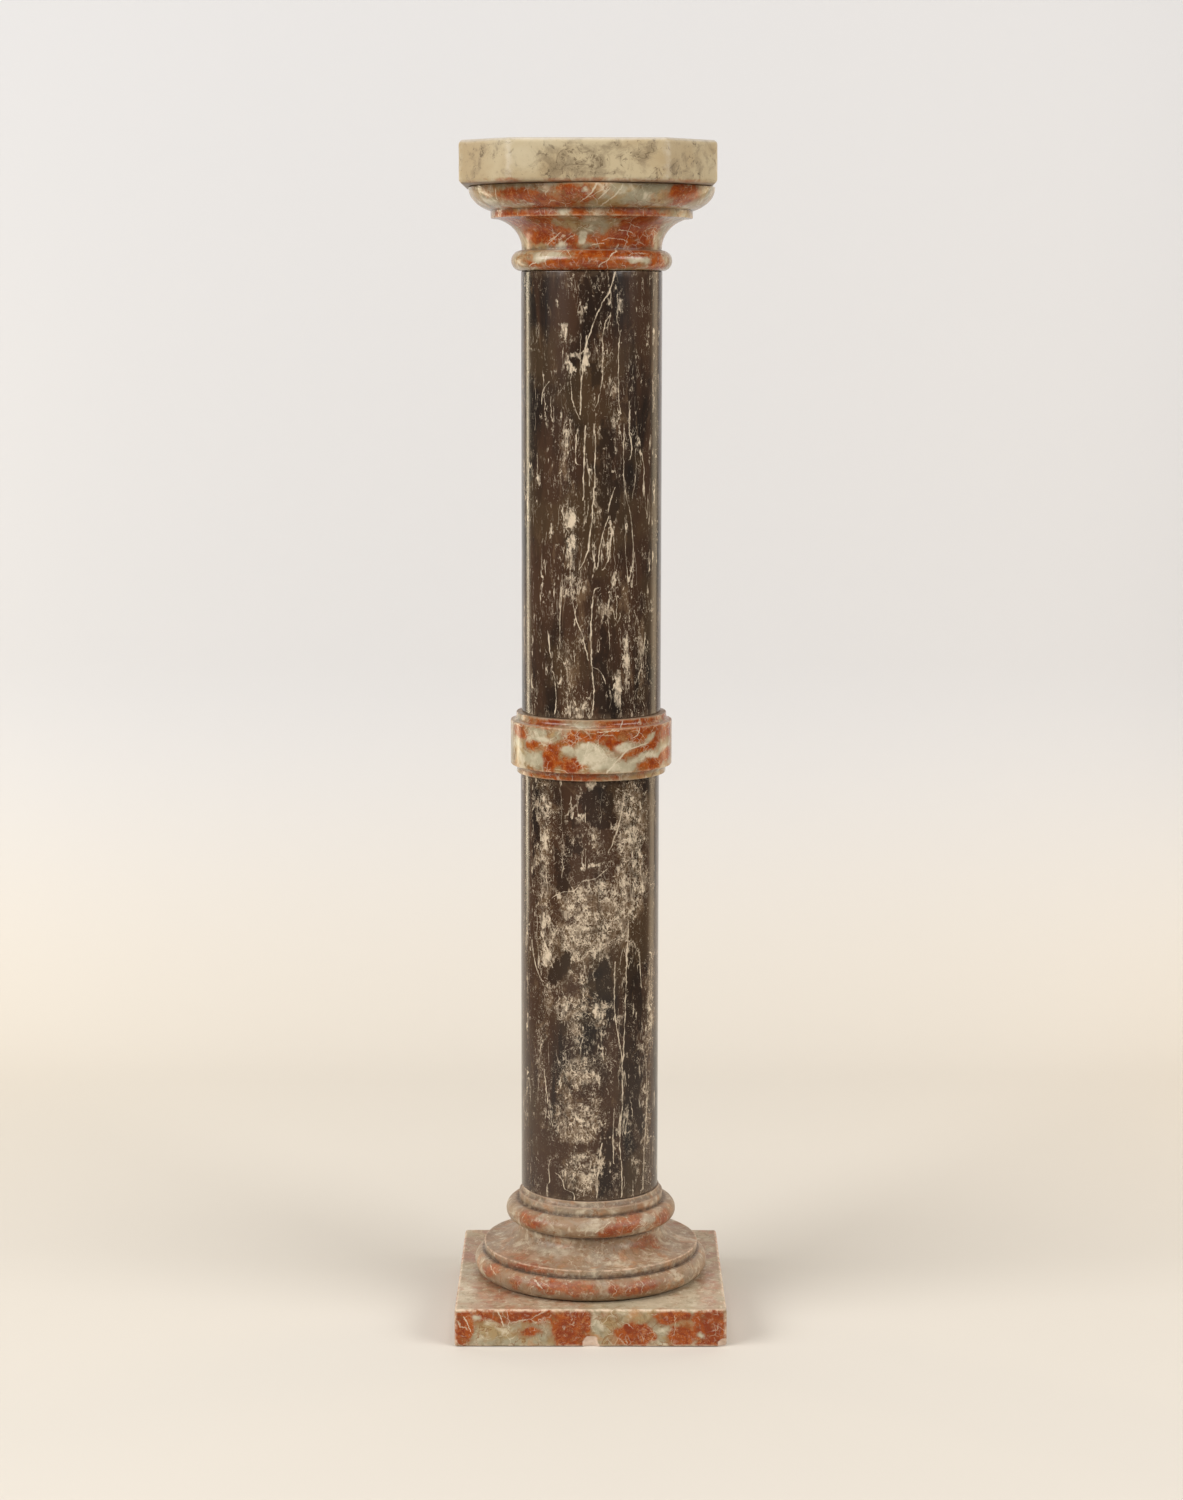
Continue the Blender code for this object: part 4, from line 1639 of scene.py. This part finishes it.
LOWER_LAYOUT = Layout(
    main=(
        Mark(36, 385, 44, 90), Mark(38, 325, 48, 80), Mark(2, 305, 70, 50), Mark(-8, 268, 62, 50),
        Mark(18, 285, 44, 60), Mark(-42, 395, 22, 70), Mark(-42, 330, 20, 90), Mark(-38, 265, 24, 70),
        Mark(-7, 228, 14, 38), Mark(-38, 207, 14, 32), Mark(-16, 197, 40, 30), Mark(6, 195, 15, 30),
        Mark(-12, 172, 17, 46), Mark(-9, 132, 44, 36), Mark(-20, 105, 14, 26), Mark(4, 105, 11, 30),
        Mark(-12, 80, 56, 44), Mark(-6, 30, 46, 46), Mark(-46, 150, 10, 70), Mark(60, 190, 18, 90),
        Mark(55, 60, 11, 120), Mark(10, 145, 14, 8), Mark(3, 372, 14, 34),
    ),
    dark=(
        Mark(1, 170, 15, 22, 20), Mark(4, 402, 38, 44), Mark(-20, 352, 24, 72, 12),
        Mark(-26, 236, 22, 34, 15), Mark(12, 226, 18, 50, -6), Mark(37, 200, 28, 100),
        Mark(38, 110, 26, 150), Mark(16, 40, 18, 70), Mark(-52, 370, 8, 110),
    ),
    pale=(
        Mark(4, 129, 6, 13, -20), Mark(-22, 195, 6, 15, 15), Mark(6, 192, 5, 14, -20),
        Mark(-26, 118, 5, 13), Mark(-22, 293, 7, 9, -30), Mark(0, 424, 11, 8, 40),
        Mark(-40, 366, 4, 15, 8), Mark(26, 402, 4, 8, 20), Mark(-40, 246, 7, 15), Mark(-43, 283, 6, 13),
        Mark(2, 343, 16, 2, -18),
    ),
    veins=(
        Vein(1.3, ((27, 143), (27, 100), (25, 60), (27, 20), (26, 2))),
        Vein(0.9, ((20, 95), (19, 60), (20, 38))),
        Vein(1.2, ((33, 285), (31, 240), (30, 200), (28, 145))),
        Vein(1.1, ((20, 245), (20, 200), (24, 165), (27, 143))),
        Vein(1.3, ((27, 402), (25, 390), (20, 372), (14, 356))),
        Vein(0.7, ((13, 340), (4, 331), (-6, 328), (-14, 318), (-24, 315), (-33, 309))),
        Vein(1.1, ((-45, 272), (-38, 255), (-33, 238))), Vein(1.0, ((-57, 262), (-50, 232), (-42, 222))),
        Vein(1.1, ((-42, 132), (-38, 98))), Vein(0.9, ((-8, 22), (3, 22))),
        Vein(1.2, ((10, 60), (7, 40), (5, 2))), Vein(0.9, ((44, 252), (48, 214))),
        Vein(0.6, ((-30, 27), (-24, 20), (-22, 12), (-15, 8), (-14, 1))),
        Vein(0.7, ((-35, 40), (-37, 30), (-36, 22), (-39, 14))),
        Vein(1.2, ((52, 143), (55, 100), (52, 50), (50, 5))), Vein(1.0, ((-12, 200), (-22, 206))),
    ),
)

SLAB_LAYOUT = Layout(
    main=(
        Mark(-17, 26, 26, 20), Mark(-42, 18, 14, 30, 20), Mark(-20, 12, 44, 14), Mark(45, 28, 36, 16),
        Mark(5, 20, 20, 26), Mark(-100, 34, 18, 8), Mark(85, 12, 18, 14), Mark(110, 20, 20, 20),
    ),
    dark=(Mark(-85, 1, 60, 3), Mark(-30, 1, 40, 2), Mark(20, 1, 30, 2), Mark(100, 1, 40, 2)),
    pale=(Mark(-60, 22, 26, 26), Mark(-45, 38, 50, 6)),
    veins=(
        Vein(0.9, ((83, 6), (92, 16))), Vein(0.9, ((-12, 36), (-6, 28), (2, 28))),
        Vein(0.8, ((-46, 26), (-38, 25))), Vein(0.8, ((-24, 14), (-8, 16), (4, 10))),
    ),
)


def stones() -> list[Piece]:
    """Return the seven stones from the floor up."""
    plinth_chips = (Chip(1.0, 0.0, 19.0, 23.0, 4.5, 0.1), Chip(133.0, 2.0, 14.0, 14.0, 5.0, 0.5))
    plinth = RedMarble(
        "plinth_marble", Cover.POLISHED, 1.3, dust=srgb(170, 152, 128),
        # The plinth's strong pale arris colour is wear and a painted highlight along its top front edge.
        wear=Wear(srgb(214, 190, 164), srgb(62, 42, 30), srgb(224, 200, 180), 0.85),
    )
    worn = RedMarble(
        "base_marble", Cover.DUSTY, 2.6, 0.35, beige=srgb(146, 120, 92), grey=srgb(148, 134, 114),
        dust=srgb(140, 112, 92),
        wear=Wear(srgb(206, 176, 150), srgb(52, 36, 28), srgb(224, 200, 180), 0.7, 0.8),
    )
    return [
        Block("plinth_block", plinth, PLINTH_LAYOUT, plinth_chips),
        Base("base", worn, BASE_LAYOUT),
        Drum("lower_shaft", BlackMarble("lower_shaft_marble", 3.1, 0.7, 0.75), LOWER_LAYOUT),
        Collar("collar", RedMarble("collar_marble", Cover.POLISHED, 4.7, 0.55), COLLAR_LAYOUT),
        Drum("upper_shaft", BlackMarble("upper_shaft_marble", 5.9, 0.3, 0.3), UPPER_LAYOUT),
        Capital("capital", RedMarble("capital_marble", Cover.POLISHED, 6.2, 0.6), CAPITAL_LAYOUT),
        Block(
            "top_slab", IvoryMarble("slab_marble"), SLAB_LAYOUT, rubbed=0.0004, corner_cut=0.0492,
            ease=0.0042,
        ),
    ]


def main() -> None:
    """Build the studio and the pedestal."""
    logging.basicConfig(level=logging.INFO, format="%(message)s")
    Studio().build()
    for stone in stones():
        stone.build()
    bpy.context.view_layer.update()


if __name__ == "__main__":
    main()
